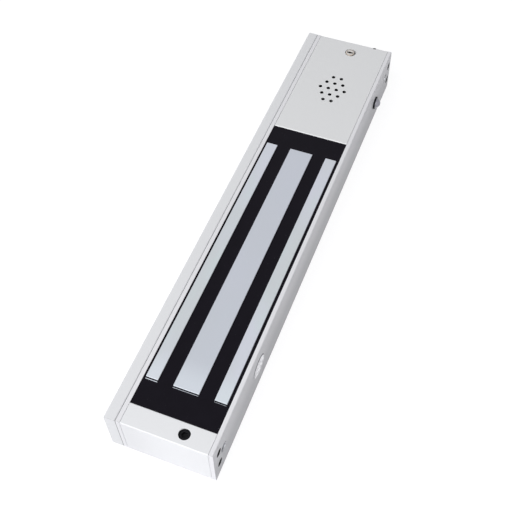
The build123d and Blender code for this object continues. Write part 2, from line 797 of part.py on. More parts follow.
def board_holes():
    """Place and width of every hole for a pin, leg or lead."""
    holes = [(x, y, component_pin) for x, y in relay_pins + sounder_pins + capacitor_pins + varistor_pins]
    holes += [(terminal_pin_x, y, terminal_pin) for y in way_ys]
    holes += [(x, y, header_pin * sqrt(2)) for x in header_xs for y in header_ys]
    holes += [(x, led_leg_y, led_leg) for x in led_leg_xs]
    holes += [(lead_x, y, coil_lead) for y in coil_lead_ys]
    holes += [(lead_x, y, sensor_lead) for y in sensor_lead_ys]
    return holes


def circuit_board():
    """Glass-fibre board on the four pillars."""
    board = block(board_x0, board_x1, board_y0, board_y1, board_z0, board_z1)
    for x, y in standoff_places:
        board -= rod_z(x, y, board_z0 - past, board_z1 + past, m3 + 2 * shank_fit)
    for x, y, width in board_holes():
        board -= rod_z(x, y, board_z0 - past, board_z1 + past, width + 2 * pin_fit)
    return board


def pins(places, top):
    """Component pins from the height top down through the board."""
    return join([rod_z(x, y, board_z0 - pin_tail, top, component_pin) for x, y in places])


# ---------------------------------------------------------------- terminal block
def terminal_block():
    """Moulded body with a wire mouth, a clamp well and a screw well for each way."""
    half = ways * way_pitch / 2 + terminal_end_wall
    top = board_z1 + terminal_height
    body = block(terminal_x0, terminal_x1, middle_y - half, middle_y + half, board_z1, top)
    body = chamfer(top_edges(body), terminal_chamfer)
    for y in way_ys:
        body -= terminal_way_cuts(y, top)
    return body


def terminal_way_cuts(y, top):
    """Everything cut out of the moulding for one way."""
    well = clamp_width / 2 + clamp_play
    mouth = clamp_width / 2 - mouth_inset
    tongue = tongue_half + clamp_play
    pin_x1 = terminal_pin_x + terminal_pin / 2 + clamp_play
    cuts = block(clamp_x0 - clamp_play, clamp_x1 + clamp_play, y - well, y + well,
                 clamp_z0 - clamp_play, raised_clamp_z)
    cuts += block(terminal_x0 - past, clamp_x, y - mouth, y + mouth, clamp_z0 + mouth_sill, clamp_z1)
    cuts += block(clamp_x, pin_x1, y - tongue, y + tongue, tongue_z0 - clamp_play, tongue_z1 + clamp_play)
    cuts += rod_z(terminal_pin_x, y, board_z1 - past, tongue_z0, terminal_pin + 2 * clamp_play)
    cuts += rod_z(clamp_x, y, clamp_z1, screw_seat_z + past, terminal_screw + 2 * shank_fit)
    return cuts + rod_z(clamp_x, y, screw_seat_z, top + past, terminal_screw_head + 2 * shank_fit)


def terminal_pins():
    """Contact tongues through the clamps, each with a pin down through the board."""
    pieces = []
    for y in way_ys:
        tongue = block(clamp_x0 + tongue_inset, terminal_pin_x + terminal_pin / 2,
                       y - tongue_half, y + tongue_half, tongue_z0, tongue_z1)
        pieces.append(tongue + rod_z(terminal_pin_x, y, board_z0 - pin_tail, tongue_z1, terminal_pin))
    return join(pieces)


def terminal_clamp(y):
    """One rising clamp: a square loop with a tapped top, at its lowest place."""
    loop = block(clamp_x0, clamp_x1, y - clamp_width / 2, y + clamp_width / 2, clamp_z0, clamp_z1)
    side = clamp_width / 2 - clamp_side
    loop -= block(clamp_x0 - past, clamp_x1 + past, y - side, y + side,
                  clamp_z0 + clamp_bar, clamp_z1 - clamp_bar)
    return loop - rod_z(clamp_x, y, clamp_z1 - past, clamp_z1 + past, terminal_screw + 2 * thread_fit)


def terminal_clamp_screw(y):
    """Slotted clamp screw, its tip just over the contact tongue."""
    head = round_head(terminal_screw_head, terminal_screw_head_height, head_round)
    head -= Pos(0, 0, terminal_screw_head_height) * Box(
        terminal_screw_head + past, terminal_screw_slot, 2 * terminal_screw_slot_depth)
    length = screw_seat_z - tongue_z1 - clamp_play
    return Pos(clamp_x, y, screw_seat_z) * (head + shank(terminal_screw, length))


# ---------------------------------------------------------------- components
def relay():
    """Sealed signal relay."""
    can = Pos(relay_x, relay_y, board_z1 + relay_lift + relay_height / 2) * Box(
        relay_length, relay_width, relay_height)
    can = fillet(can.edges().filter_by(Axis.Z), relay_round)
    can = fillet(can.faces().sort_by(Axis.Z)[-1].edges(), relay_top_round)
    return can + pins(relay_pins, board_z1 + 2 * relay_lift)


def sounder():
    """Round sounder under the grille, with a sound port in its top."""
    top = board_z1 + sounder_height
    can = rod_z(sounder_x, middle_y, board_z1, top, sounder_diameter)
    can = fillet(rims(can, Axis.Z)[-1], sounder_round)
    can -= rod_z(sounder_x, middle_y, top - sounder_port_depth, top + past, sounder_port)
    return can + pins(sounder_pins, board_z1 + sounder_round)


def jumper_header():
    """Insulating base of the pin header."""
    half = len(header_xs) * header_pitch / 2
    base = block(header_x - half, header_x + half, header_y - header_pitch, header_y + header_pitch,
                 board_z1, board_z1 + header_base)
    hole = header_pin / 2 + header_pin_play
    top = board_z1 + header_base + past
    for x in header_xs:
        for y in header_ys:
            base -= block(x - hole, x + hole, y - hole, y + hole, board_z1 - past, top)
    return base


def header_pins():
    """Square pins through the header's base."""
    half = header_pin / 2
    top = board_z1 + header_base + header_pin_height
    return join([block(x - half, x + half, y - half, y + half, board_z0 - pin_tail, top)
                 for x in header_xs for y in header_ys])


def shunt(x):
    """Pull-off jumper cap over one pair of pins."""
    base = board_z1 + header_base
    half_x = header_pitch / 2 - shunt_gap
    half_y = header_pitch - shunt_gap
    cap = block(x - half_x, x + half_x, header_y - half_y, header_y + half_y, base, base + shunt_height)
    cap = chamfer(cap.edges().filter_by(Axis.X).group_by(Axis.Z)[-1], shunt_chamfer)
    hole = shunt_hole / 2
    for y in header_ys:
        cap -= block(x - hole, x + hole, y - hole, y + hole, base - past, base + shunt_height - shunt_skin)
    return cap


def capacitor():
    """Electrolytic can with its rolled groove."""
    can = rod_z(capacitor_x, capacitor_y, board_z1, board_z1 + capacitor_height, capacitor_diameter)
    can = fillet(rims(can, Axis.Z), capacitor_round)
    z0 = board_z1 + capacitor_groove_height
    z1 = z0 + capacitor_groove
    groove = rod_z(capacitor_x, capacitor_y, z0, z1, capacitor_diameter + past)
    groove -= rod_z(capacitor_x, capacitor_y, z0, z1, capacitor_diameter - 2 * capacitor_groove_depth)
    return can - groove + pins(capacitor_pins, board_z1 + capacitor_round)


def varistor():
    """Disc varistor across the supply."""
    y = middle_y + varistor_pin_pitch / 2
    z = board_z1 + varistor_lift + varistor_diameter / 2
    half = varistor_thickness / 2
    disc = rod_x(y, z, varistor_x - half, varistor_x + half, varistor_diameter)
    disc = fillet(rims(disc, Axis.X), varistor_round)
    return disc + pins(varistor_pins, z)


def control_chip():
    """Control chip with legs on both sides, soldered to the board's surface."""
    x = sounder_x + chip_from_sounder
    y = middle_y - chip_offset
    middle = Pos(x, y, board_z1 + chip_lift + chip_height / 2)
    body = middle * Box(chip_length, chip_width, chip_height)
    body = chamfer(top_edges(body), chip_chamfer)
    for i in range(chip_legs):
        leg_y = y + chip_leg_pitch * (i - (chip_legs - 1) / 2)
        body += Pos(x, leg_y, board_z1 + chip_leg / 2) * Box(chip_span, chip_leg, chip_leg)
    return body


def resistors():
    """Row of chip resistors between the header and the lamp."""
    chip = Box(resistor_width, resistor_length, resistor_height)
    x0 = header_xs[-1] + resistor_from_header
    z = board_z1 + resistor_height / 2
    return join([Pos(x0 + resistor_pitch * i, header_y, z) * chip for i in range(resistor_count)])


def diodes():
    """Cylindrical surface-mount diodes beside the relay that quench the coil."""
    pieces = []
    for x in diode_xs:
        body = rod_y(x, board_z1 + diode_diameter / 2, diode_y0, diode_y1, diode_diameter)
        pieces.append(fillet(rims(body, Axis.Y), diode_round))
    return join(pieces)


# ---------------------------------------------------------------- writing the nodes
def write_all():
    """Write one STEP file for each node."""
    for build in (housing, mounting_plate, near_end_block, far_end_block, compartment_cover, partition,
                  magnet_core, coil_former, coil_winding, bond_sensor, sensor_leads, coil_leads, potting,
                  near_block_screw, end_block_screws, core_screws, cover_screw, cover_screw_washer,
                  cable_grommet, led_bezel, led_lens, led_legs, oval_label,
                  board_standoffs, board_screws, circuit_board, terminal_pins, terminal_block,
                  relay, sounder, jumper_header, header_pins, capacitor, varistor, control_chip,
                  resistors, diodes):
        save(build(), build.__name__)
    for end in end_signs:
        save(plate_bolt(end), f"{end}_plate_bolt")
        save(plate_bolt_washer(end), f"{end}_bolt_washer")
        save(key_plug(end), f"{end}_key_plug")
    for number, y in enumerate(way_ys, 1):
        save(terminal_clamp(y), f"terminal_clamp_{number}")
        save(terminal_clamp_screw(y), f"terminal_screw_{number}")
    for name, x in zip(jumper_names, header_xs):
        save(shunt(x), name)


os.makedirs("parts", exist_ok=True)
write_all()
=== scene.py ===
import json
import math

import bmesh
import bpy
import numpy as np
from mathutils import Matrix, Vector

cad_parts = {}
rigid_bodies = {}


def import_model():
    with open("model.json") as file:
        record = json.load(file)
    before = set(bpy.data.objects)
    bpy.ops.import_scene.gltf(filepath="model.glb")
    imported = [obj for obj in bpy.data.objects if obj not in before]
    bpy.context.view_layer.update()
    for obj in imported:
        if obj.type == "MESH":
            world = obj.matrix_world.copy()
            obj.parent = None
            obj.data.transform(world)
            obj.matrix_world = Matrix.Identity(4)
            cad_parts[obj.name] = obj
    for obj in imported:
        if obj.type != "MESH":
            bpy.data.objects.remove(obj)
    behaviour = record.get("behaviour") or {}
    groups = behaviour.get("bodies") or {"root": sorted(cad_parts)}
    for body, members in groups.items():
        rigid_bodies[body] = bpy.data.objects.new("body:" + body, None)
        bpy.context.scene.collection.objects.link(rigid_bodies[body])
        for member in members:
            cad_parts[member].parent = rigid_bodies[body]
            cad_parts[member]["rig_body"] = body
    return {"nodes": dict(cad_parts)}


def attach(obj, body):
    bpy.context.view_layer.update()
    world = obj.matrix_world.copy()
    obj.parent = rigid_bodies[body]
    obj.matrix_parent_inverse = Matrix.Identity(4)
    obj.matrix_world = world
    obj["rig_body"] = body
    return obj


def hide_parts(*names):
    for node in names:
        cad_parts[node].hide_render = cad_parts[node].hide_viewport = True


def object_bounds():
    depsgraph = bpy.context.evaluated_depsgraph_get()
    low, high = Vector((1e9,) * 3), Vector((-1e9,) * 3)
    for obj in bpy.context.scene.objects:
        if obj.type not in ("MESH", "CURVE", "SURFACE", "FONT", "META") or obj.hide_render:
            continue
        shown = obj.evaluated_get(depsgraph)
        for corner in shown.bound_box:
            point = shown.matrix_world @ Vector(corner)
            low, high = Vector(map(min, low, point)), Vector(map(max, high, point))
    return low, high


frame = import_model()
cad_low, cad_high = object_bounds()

# ---------------------------------------------------------------- camera
# A normal lens held over the near end and a little to the lamp side, looking down along
# the lock, so that the near end is large and the lid with its grille is far off.
camera = bpy.data.objects.new("camera", bpy.data.cameras.new("camera"))
camera.data.sensor_width = 36
camera.data.lens = 59.10
camera.data.clip_start = 0.01
camera.data.clip_end = 20
camera.location = (-0.234727, -0.116031, 0.322979)
camera.rotation_mode = "QUATERNION"
camera.rotation_quaternion = (0.784626, 0.258687, -0.164454, -0.538886)
bpy.context.scene.collection.objects.link(camera)
bpy.context.scene.camera = camera
bpy.context.scene.view_settings.view_transform = "Standard"


# ---------------------------------------------------------------- studio
# A white paper sweep under soft lamps: a large one beyond the near end, which makes that
# end the brightest face, and a weak one from the far side so that no face goes dark.
class Value:
    """One output of a node. Arithmetic on it adds Math nodes to the same tree, | takes the
    larger of two, and a comparison gives 1 or 0."""

    def __init__(self, nodes, socket):
        self.nodes = nodes
        self.socket = socket

    def math(self, operation, *terms):
        return self.nodes.add("ShaderNodeMath", {"operation": operation}, dict(enumerate(terms)))

    def __add__(self, other):
        return self.math("ADD", self, other)

    def __sub__(self, other):
        return self.math("SUBTRACT", self, other)

    def __rsub__(self, other):
        return self.math("SUBTRACT", other, self)

    def __mul__(self, other):
        return self.math("MULTIPLY", self, other)

    def __truediv__(self, other):
        return self.math("DIVIDE", self, other)

    def __pow__(self, other):
        return self.math("POWER", self, other)

    def __gt__(self, other):
        return self.math("GREATER_THAN", self, other)

    def __lt__(self, other):
        return self.math("LESS_THAN", self, other)

    def __or__(self, other):
        return self.math("MAXIMUM", self, other)

    def __abs__(self):
        return self.math("ABSOLUTE", self)

    __radd__ = __add__
    __rmul__ = __mul__


class Nodes:
    """The node tree of a material or of the world."""

    def __init__(self, owner):
        owner.use_nodes = True
        self.tree = owner.node_tree

    def add(self, kind, settings, inputs, output=0):
        """A node of that kind: its settings first, then values or links for its sockets."""
        node = self.tree.nodes.new(kind)
        for name, value in settings.items():
            setattr(node, name, value)
        return self.feed(node, inputs, output)

    def feed(self, node, inputs, output=0):
        """Values or links for the sockets of a node that is there already."""
        for name, value in inputs.items():
            if isinstance(value, Value):
                self.tree.links.new(value.socket, node.inputs[name])
            else:
                node.inputs[name].default_value = value
        return Value(self, node.outputs[output]) if node.outputs else None


def seen_directly(nodes):
    """1 for camera, mirror and glass rays, 0 for those that only carry light."""
    rays = [nodes.add("ShaderNodeLightPath", {}, {}, name)
            for name in ("Is Camera Ray", "Is Glossy Ray", "Is Transmission Ray")]
    return rays[0] | rays[1] | rays[2]


world = bpy.data.worlds.new("studio_air")
bpy.context.scene.world = world
air = Nodes(world)
air_light = 0.34    # what the air adds to the lamps; the backdrop itself is seen at 1
air.feed(world.node_tree.nodes["Background"],
         {"Color": (1, 1, 1, 1), "Strength": air_light + (1 - air_light) * seen_directly(air)})


def lamp(name, place, size, power):
    """Square lamp at a place and with a side in metres and a power in watts, turned to the
    lock's middle."""
    light = bpy.data.lights.new(name, "AREA")
    light.size = size
    light.energy = power
    holder = bpy.data.objects.new(name, light)
    holder.location = place
    holder.rotation_mode = "QUATERNION"
    holder.rotation_quaternion = (-holder.location).to_track_quat("-Z", "Y")
    bpy.context.scene.collection.objects.link(holder)


lamp("near_lamp", (-0.86, 0.17, 0.79), 1.4, 18.6)
lamp("far_lamp", (1.1, 0.95, 0.3), 1.2, 3.0)

# The paper shows as white. The light that it throws back at the lock is a little less, and
# only a part of what is seen takes a shadow.
sweep_half = 6.0
sweep_drop = 0.00002
paper_bounce = (0.66, 0.66, 0.68, 1)
paper_shade = (0.24, 0.24, 0.25, 1)
paper_glow = 0.84
sweep = bpy.data.meshes.new("paper_sweep")
sweep.from_pydata([(x, y, cad_low.z - sweep_drop) for x, y in
                   ((-sweep_half, -sweep_half), (sweep_half, -sweep_half),
                    (sweep_half, sweep_half), (-sweep_half, sweep_half))], [], [(0, 1, 2, 3)])
sweep_object = bpy.data.objects.new("paper_sweep", sweep)
bpy.context.scene.collection.objects.link(sweep_object)
paper = bpy.data.materials.new("white_paper")
paper_nodes = Nodes(paper)
bounced = paper_nodes.add("ShaderNodeBsdfDiffuse", {}, {"Color": paper_bounce})
shadowed = paper_nodes.add("ShaderNodeBsdfDiffuse", {}, {"Color": paper_shade})
glow = paper_nodes.add("ShaderNodeEmission", {},
                       {"Color": (1, 1, 1, 1), "Strength": paper_glow})
white = paper_nodes.add("ShaderNodeAddShader", {}, {0: shadowed, 1: glow})
paper_nodes.feed(paper.node_tree.nodes["Material Output"], {"Surface": paper_nodes.add(
    "ShaderNodeMixShader", {}, {0: seen_directly(paper_nodes), 1: bounced, 2: white})})
sweep.materials.append(paper)

# ---------------------------------------------------------------- housing
# The channel that holds everything: an aluminium extrusion sawn to length, drilled, and
# clear anodised to a fine satin. Faint die lines run along it. Its small holes and the lower
# part of its lamp side are darkened with painted shade.
MM = 0.001    # sizes and places from here on are in millimetres
end_face = 124.8    # just inside the two end faces
near_set_screw, far_set_screw = 119.9, 121.0    # from the lock's middle
set_screw_heights = (5.4, -4.2)
key_hole_x, key_hole_z = 115.4, 1.0


def srgb(red, green, blue):
    """Linear colour from the 0 to 255 numbers that a screen shows."""
    share = np.array([red, green, blue]) / 255
    linear = np.where(share < 0.04045, share / 12.92, ((share + 0.055) / 1.055) ** 2.4)
    return (*linear.tolist(), 1.0)


class Finish(Nodes):
    """A material on Blender's main shader, with patterns on Object coordinates."""

    def __init__(self, name, **fixed):
        self.material = bpy.data.materials.new(name)
        super().__init__(self.material)
        self.shader = self.tree.nodes["Principled BSDF"]
        self.place = self.add("ShaderNodeTexCoord", {}, {}, "Object")
        self.paint(**fixed)

    def noise(self, size, stretch=(1, 1, 1), detail=2):
        """Cloudy noise, 0 to 1, with lumps of that size, stretched along the axes."""
        where = self.add("ShaderNodeVectorMath", {"operation": "DIVIDE"},
                         {0: self.place, 1: stretch})
        return self.add("ShaderNodeTexNoise", {},
                        {"Vector": where, "Scale": 1 / (size * MM), "Detail": detail})

    def axis(self, name):
        """One coordinate, in millimetres."""
        return self.add("ShaderNodeSeparateXYZ", {}, {0: self.place}, name) * (1 / MM)

    def facing(self, name):
        """How far the surface faces along one axis, -1 to 1."""
        normal = self.add("ShaderNodeTexCoord", {}, {}, "Normal")
        return self.add("ShaderNodeSeparateXYZ", {}, {0: normal}, name)

    def away(self, first, second):
        """Distance from the line where both values are 0."""
        return (first * first + second * second) ** 0.5

    def band(self, value, low, high):
        """0 at low, 1 at high, smooth between and level beyond."""
        return self.add("ShaderNodeMapRange", {"interpolation_type": "SMOOTHSTEP"},
                        {"Value": value, "From Min": low, "From Max": high})

    def blend(self, share, first, second):
        """Colour between two, by a share from 0 to 1."""
        return self.add("ShaderNodeMix", {"data_type": "RGBA"}, {0: share, 6: first, 7: second}, 2)

    def bump(self, height, depth):
        """Relief of a height from 0 to 1, that deep in millimetres."""
        return self.add("ShaderNodeBump", {}, {"Height": height, "Distance": depth * MM})

    def paint(self, **inputs):
        """Feed the shader's sockets, named with _ for a space."""
        self.feed(self.shader, {key.replace("_", " "): value for key, value in inputs.items()})
        return self.material


def anodised(name, tone, along, shade_and_joints=None):
    """Satin anodised aluminium: fine lines stretched by along, faint clouding, a few small
    marks, and dark where shade_and_joints(finish) is 1, which paints shade and dark joint lines."""
    finish = Finish(name)
    lines = finish.noise(0.16, along, 1)
    cloud = finish.noise(22, detail=3)
    marks = finish.band(finish.noise(1.6, (6, 1, 1), 4), 0.70, 0.78)
    low = tuple(channel * 0.955 for channel in tone[:3]) + (1,)
    colour = finish.blend(0.55 * lines + 0.45 * cloud, low, tone)
    colour = finish.blend(0.10 * marks, colour, srgb(178, 178, 180))
    metal = 0.06
    # The mask's dark colour is painted shade, and on joint lines the joint's own dark.
    if shade_and_joints:
        darkening = shade_and_joints(finish)
        colour = finish.blend(darkening, colour, srgb(16, 16, 20))
        metal = metal - metal * darkening
    return finish.paint(Base_Color=colour, Metallic=metal, Normal=finish.bump(lines, 0.004),
                        Roughness=0.44 + 0.10 * lines + 0.04 * cloud - 0.06 * marks)


def placed(name, mesh, material, *nodes):
    """Object that replaces CAD nodes, on the first one's body."""
    piece = bpy.data.objects.new(name, mesh)
    bpy.context.scene.collection.objects.link(piece)
    mesh.shade_smooth()
    mesh.materials.clear()
    mesh.materials.append(material)
    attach(piece, frame["nodes"][nodes[0]]["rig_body"])
    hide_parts(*nodes)
    return piece


def dressed(node, width, material):
    """Copy of a CAD node in its place, merged, with corners broken by a width in millimetres."""
    shell = bmesh.new()
    shell.from_mesh(frame["nodes"][node].data)
    bmesh.ops.remove_doubles(shell, verts=shell.verts, dist=0.002 * MM)
    bmesh.ops.dissolve_limit(shell, angle_limit=math.radians(0.5), verts=shell.verts,
                             edges=shell.edges)
    mesh = bpy.data.meshes.new(node + "_dressed")
    shell.to_mesh(mesh)
    shell.free()
    piece = placed(node + "_dressed", mesh, material, node)
    corner = piece.modifiers.new("broken_corners", "BEVEL")
    corner.width = width * MM
    corner.segments = 2
    corner.angle_limit = math.radians(32)
    piece.modifiers.new("flat_faces", "WEIGHTED_NORMAL").weight = 100
    return piece


def near_end_shade(finish):
    """Painted shade: a little on the near end, more towards the mounting plate."""
    return 0.10 * finish.band(finish.axis("Y"), -31, -6) * (finish.axis("X") < -end_face)


def side_shade_and_seam(finish):
    """Painted shade: 1 in the set screw and key holes of the lamp side and in a thin line round
    each, the key hole's only in its upper part. The far set screws lie a little nearer to their
    end, with a wider line. Painted shade growing towards the bottom of the lamp side, and on the
    near end. 1 on the seam of the end edges that meet the mounting plate. A hole is where the
    distance from its axis is under its radius."""
    along, height = abs(finish.axis("X")), finish.axis("Z")
    far = finish.axis("X") > 0
    aside = along - near_set_screw - (far_set_screw - near_set_screw) * far
    wider = 0.12 * far
    # Painted shade in and round the set screw holes, and in the upper part of the key hole.
    upper, lower = [finish.band(finish.away(aside, height - middle) - wider, 2.12, 1.95)
                    for middle in set_screw_heights]
    key_edge = finish.band(finish.away(along - key_hole_x, height - key_hole_z), 2.85, 2.45)
    key = 0.8 * key_edge * (height > 1.6)
    # Painted shade, more towards the bottom of the lamp side.
    lower_side_shade = 0.18 * finish.band(height, 9.0, -5.0) * (finish.axis("Y") < -47.8)
    seam = finish.band(finish.axis("Y"), -5.50, -5.36) * (along > end_face)
    in_lamp_wall = finish.axis("Y") < -45.5
    return (upper | lower | key) * in_lamp_wall | lower_side_shade | seam | near_end_shade(finish)


dressed("housing", 0.12,
        anodised("satin_channel", srgb(220, 220, 224), (120, 1, 1), side_shade_and_seam))


# ---------------------------------------------------------------- mounting plate
# The flat bar that is screwed to the door frame. It is sawn from extruded bar, its slots
# and holes are countersunk from the inside, and it is anodised like the channel. Dust has
# settled in the joint between the two.
def joint_line_and_end_shade(finish):
    """1 on the edge that meets the channel at the two ends, and less along the lock; with it, the
    painted shade of the near end.
    """
    end = finish.band(abs(finish.axis("X")), 124.7, 124.95)
    line = finish.band(finish.axis("Y") + 0.30 * end, -4.99, -5.10) * (0.5 + 0.5 * end)
    return line | near_end_shade(finish)


dressed("mounting_plate", 0.15,
        anodised("satin_bar", srgb(217, 218, 221), (160, 1, 1), joint_line_and_end_shade))


# ---------------------------------------------------------------- end blocks
# Solid aluminium blocks that close the two ends of the channel, milled and then satin
# anodised, so that they have a finer and rounder grain than the extrusions.
cap_screw_x, cap_screw_y = -120.1, -33.7


def hole_and_end_shade(finish):
    """Painted shade down the near block's screw hole, which the distance from its axis bounds, and
    the painted shade of the near end.
    """
    hole = finish.away(finish.axis("X") - cap_screw_x, finish.axis("Y") - cap_screw_y)
    return finish.band(hole, 2.60, 2.56) * (finish.axis("Z") < 11.6) | near_end_shade(finish)


block_metal = anodised("milled_block", srgb(221, 222, 225), (1, 14, 14), hole_and_end_shade)
for node in ("near_end_block", "far_end_block"):
    dressed(node, 0.10, block_metal)


# ---------------------------------------------------------------- compartment cover
# A flat aluminium lid between the side walls, with a drilled sounder grille, a pry notch
# and a counterbore for its screw. Painted shade darkens the drillings inside.
sounder_x, sounder_y = 86.2, -26.6
lid_screw_x, lid_screw_y = 117, -26.6
shade_aside = 0.6


def lid_hole_shade(finish):
    """Painted shade: 1 on the walls of the grille holes, which lie in a circle and don't face up,
    and less in the screw's counterbore, more so on its lamp side."""
    x, y = finish.axis("X"), finish.axis("Y")
    wall = finish.band(abs(finish.facing("Z")), 0.9, 0.6)
    grille = wall * finish.band(finish.away(x - sounder_x, y - sounder_y), 12.5, 12.0)
    darkening = finish.away(x - lid_screw_x, y - lid_screw_y + shade_aside)
    return grille | 0.5 * (finish.band(darkening, 2.9, 2.7) * (finish.axis("Z") < 12.2))


dressed("compartment_cover", 0.06,
        anodised("satin_lid", srgb(217, 218, 220), (90, 1, 1), lid_hole_shade))

# ---------------------------------------------------------------- partition
# A black plastic dam that kept the wet resin out of the electronics bay. It is sawn from
# sheet and its faces are scuffed.
dam = Finish("black_dam")
grain = dam.noise(0.5, detail=4)
dam.paint(Base_Color=dam.blend(grain, srgb(34, 34, 36), srgb(48, 48, 50)),
          Roughness=0.5 + 0.15 * grain, Normal=dam.bump(grain, 0.01))
dressed("partition", 0.08, dam.material)

# ---------------------------------------------------------------- magnet core
# E-shaped steel laminations stacked along the lock and bonded, ground flat on the three
# pole faces and zinc plated. The sheets show as faint lines across the poles.
plated = Finish("plated_laminations")
sheet_pitch = 0.5
middle_pole_y, middle_pole_half = -26.4, 6.0
sheet = plated.add("ShaderNodeMath", {"operation": "FRACT"}, {0: plated.axis("X") / sheet_pitch})
seam = plated.band(abs(sheet - 0.5), 0.38, 0.5)
cloud = plated.noise(26, (2.2, 1, 1), 3)
patch = plated.noise(9, (3, 1, 1), 3)
ground = plated.noise(0.12, (1, 60, 60), 1)
# The middle pole is a little darker, and all three carry painted light towards the near end.
on_middle_pole = abs(plated.axis("Y") - middle_pole_y) < middle_pole_half
near_end_light = plated.band(plated.axis("X"), -86, -100)
steel = plated.blend(plated.band(cloud, 0.35, 0.65), srgb(194, 199, 203), srgb(199, 202, 213))
steel = plated.blend(0.4 * plated.band(patch, 0.45, 0.7), steel, srgb(193, 206, 208))
steel = plated.blend(0.8 * on_middle_pole, steel, srgb(186, 190, 200))
steel = plated.blend(0.5 * near_end_light, steel, srgb(212, 219, 227))
plated.paint(Base_Color=plated.blend(0.10 * seam, steel, srgb(120, 124, 130)), Metallic=0.55,
             Roughness=0.30 + 0.10 * ground + 0.06 * cloud,
             Normal=plated.bump(ground - 0.4 * seam, 0.003))
dressed("magnet_core", 0.15, plated.material)


def skinned(name, grids, ring=False):
    """One closed mesh over grids of points, each an array of row, column and xyz. Columns
    close round. With ring, rows close round as well; without it, the first and the last row
    each gather in one point. Merging the doubles closes the skin, and then all face out."""
    points, faces, count = [], [], 0
    for grid in grids:
        number = np.arange(grid[..., 0].size).reshape(grid.shape[:2]) + count
        count += number.size
        low, high = (number, np.roll(number, -1, 0)) if ring else (number[:-1], number[1:])
        corners = [low, np.roll(low, -1, 1), np.roll(high, -1, 1), high]
        faces.append(np.stack(corners, -1).reshape(-1, 4))
        points.append(grid.reshape(-1, 3))
    mesh = bpy.data.meshes.new(name)
    mesh.from_pydata((np.concatenate(points) * MM).tolist(), [],
                     np.concatenate(faces).tolist())
    shell = bmesh.new()
    shell.from_mesh(mesh)
    bmesh.ops.remove_doubles(shell, verts=shell.verts, dist=0.0005 * MM)
    bmesh.ops.recalc_face_normals(shell, faces=shell.faces)
    shell.to_mesh(mesh)
    shell.free()
    return mesh


def bar(low, high):
    """Grid of a box between two corners: the middle of its foot, foot, top, middle of its top."""
    low, high = np.array(low, float), np.array(high, float)
    corners = np.array([[0, 0], [1, 0], [1, 1], [0, 1]])
    reach = np.array([corners * 0 + 0.5, corners, corners, corners * 0 + 0.5])
    rise = np.broadcast_to(np.array([0, 0, 1, 1])[:, None, None], (4, 4, 1))
    return low + (high - low) * np.concatenate([reach, rise], -1)


def added(name, mesh, material, body):
    """Object that stands for no CAD node."""
    piece = bpy.data.objects.new(name, mesh)
    bpy.context.scene.collection.objects.link(piece)
    mesh.shade_smooth()
    mesh.set_sharp_from_angle(angle=math.radians(35))
    mesh.materials.append(material)
    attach(piece, body)
    return piece


# The last sheet of the stack stands a little off the others at the near end, and resin has
# filled the gap, so that a thin bright edge shows beyond each pole.
pole_sides = ((-13.7, -8.2), (-32.2, -20.6), (-44.6, -39.1))
sheet_x = -102.86
sheet_z = (10.5, 11.99)
sheet_inset = 0.1
sheet_widths = (0.32, 0.17, 0.09)
end_sheets = skinned("end_sheets", [bar((sheet_x - wide, y0 + sheet_inset, sheet_z[0]),
                                        (sheet_x, y1 - sheet_inset, sheet_z[1]))
                                    for (y0, y1), wide in zip(pole_sides, sheet_widths)])
added("end_sheets", end_sheets, plated.material, "magnet_body")

# ---------------------------------------------------------------- coil
# Enamelled copper wire wound on a nylon bobbin round the middle pole. All of it is under
# the resin.
copper = Finish("enamelled_copper", Metallic=0.8)
wire_pitch = 0.6
strand = copper.add("ShaderNodeMath", {"operation": "SINE"},
                    {0: copper.axis("Z") * (2 * math.pi / wire_pitch)})
copper.paint(Base_Color=copper.blend(0.5 + 0.5 * strand, srgb(150, 84, 44), srgb(205, 128, 74)),
             Roughness=0.28 + 0.06 * strand, Normal=copper.bump(strand, 0.1))
nylon = Finish("natural_nylon")
haze = nylon.noise(3)
nylon.paint(Base_Color=nylon.blend(haze, srgb(226, 220, 202), srgb(238, 234, 220)),
            Roughness=0.45 + 0.1 * haze)


def shown(material, *nodes):
    """Give CAD nodes that stay as they are their material."""
    for node in nodes:
        frame["nodes"][node].data.materials.clear()
        frame["nodes"][node].data.materials.append(material)


shown(copper.material, "coil_winding")
shown(nylon.material, "coil_former")

# ---------------------------------------------------------------- leads and bond sensor
# Soft insulated leads run from the coil and from a small moulded sensor through the dam
# to the board, where they are soldered.
sheath = Finish("red_sheath", Coat_Weight=0.15)
rub = sheath.noise(1.2, detail=3)
sheath.paint(Base_Color=sheath.blend(rub, srgb(150, 28, 26), srgb(182, 44, 38)),
             Roughness=0.40 + 0.12 * rub, Normal=sheath.bump(rub, 0.02))
shown(sheath.material, "coil_leads", "sensor_leads")


def moulded(name, first, second, rough, *zones):
    """Moulded plastic in two close tones with fine tool grain. A zone is a mask on the
    finish, the colour there, and how metallic and how rough it is there."""
    finish = Finish(name)
    grain = finish.noise(0.25, detail=4)
    colour, metal, roughness = finish.blend(grain, first, second), 0.0, rough + 0.12 * grain
    for mask, tone, tone_metal, tone_rough in zones:
        share = mask(finish)
        colour = finish.blend(share, colour, tone)
        if tone_metal != metal:
            metal = metal + share * (tone_metal - metal)
        roughness = roughness + share * (tone_rough - roughness)
    return finish.paint(Base_Color=colour, Metallic=metal, Roughness=roughness,
                        Normal=finish.bump(grain, 0.01))


dressed("bond_sensor", 0.1, moulded("sensor_black", srgb(20, 20, 22), srgb(30, 30, 32), 0.4))

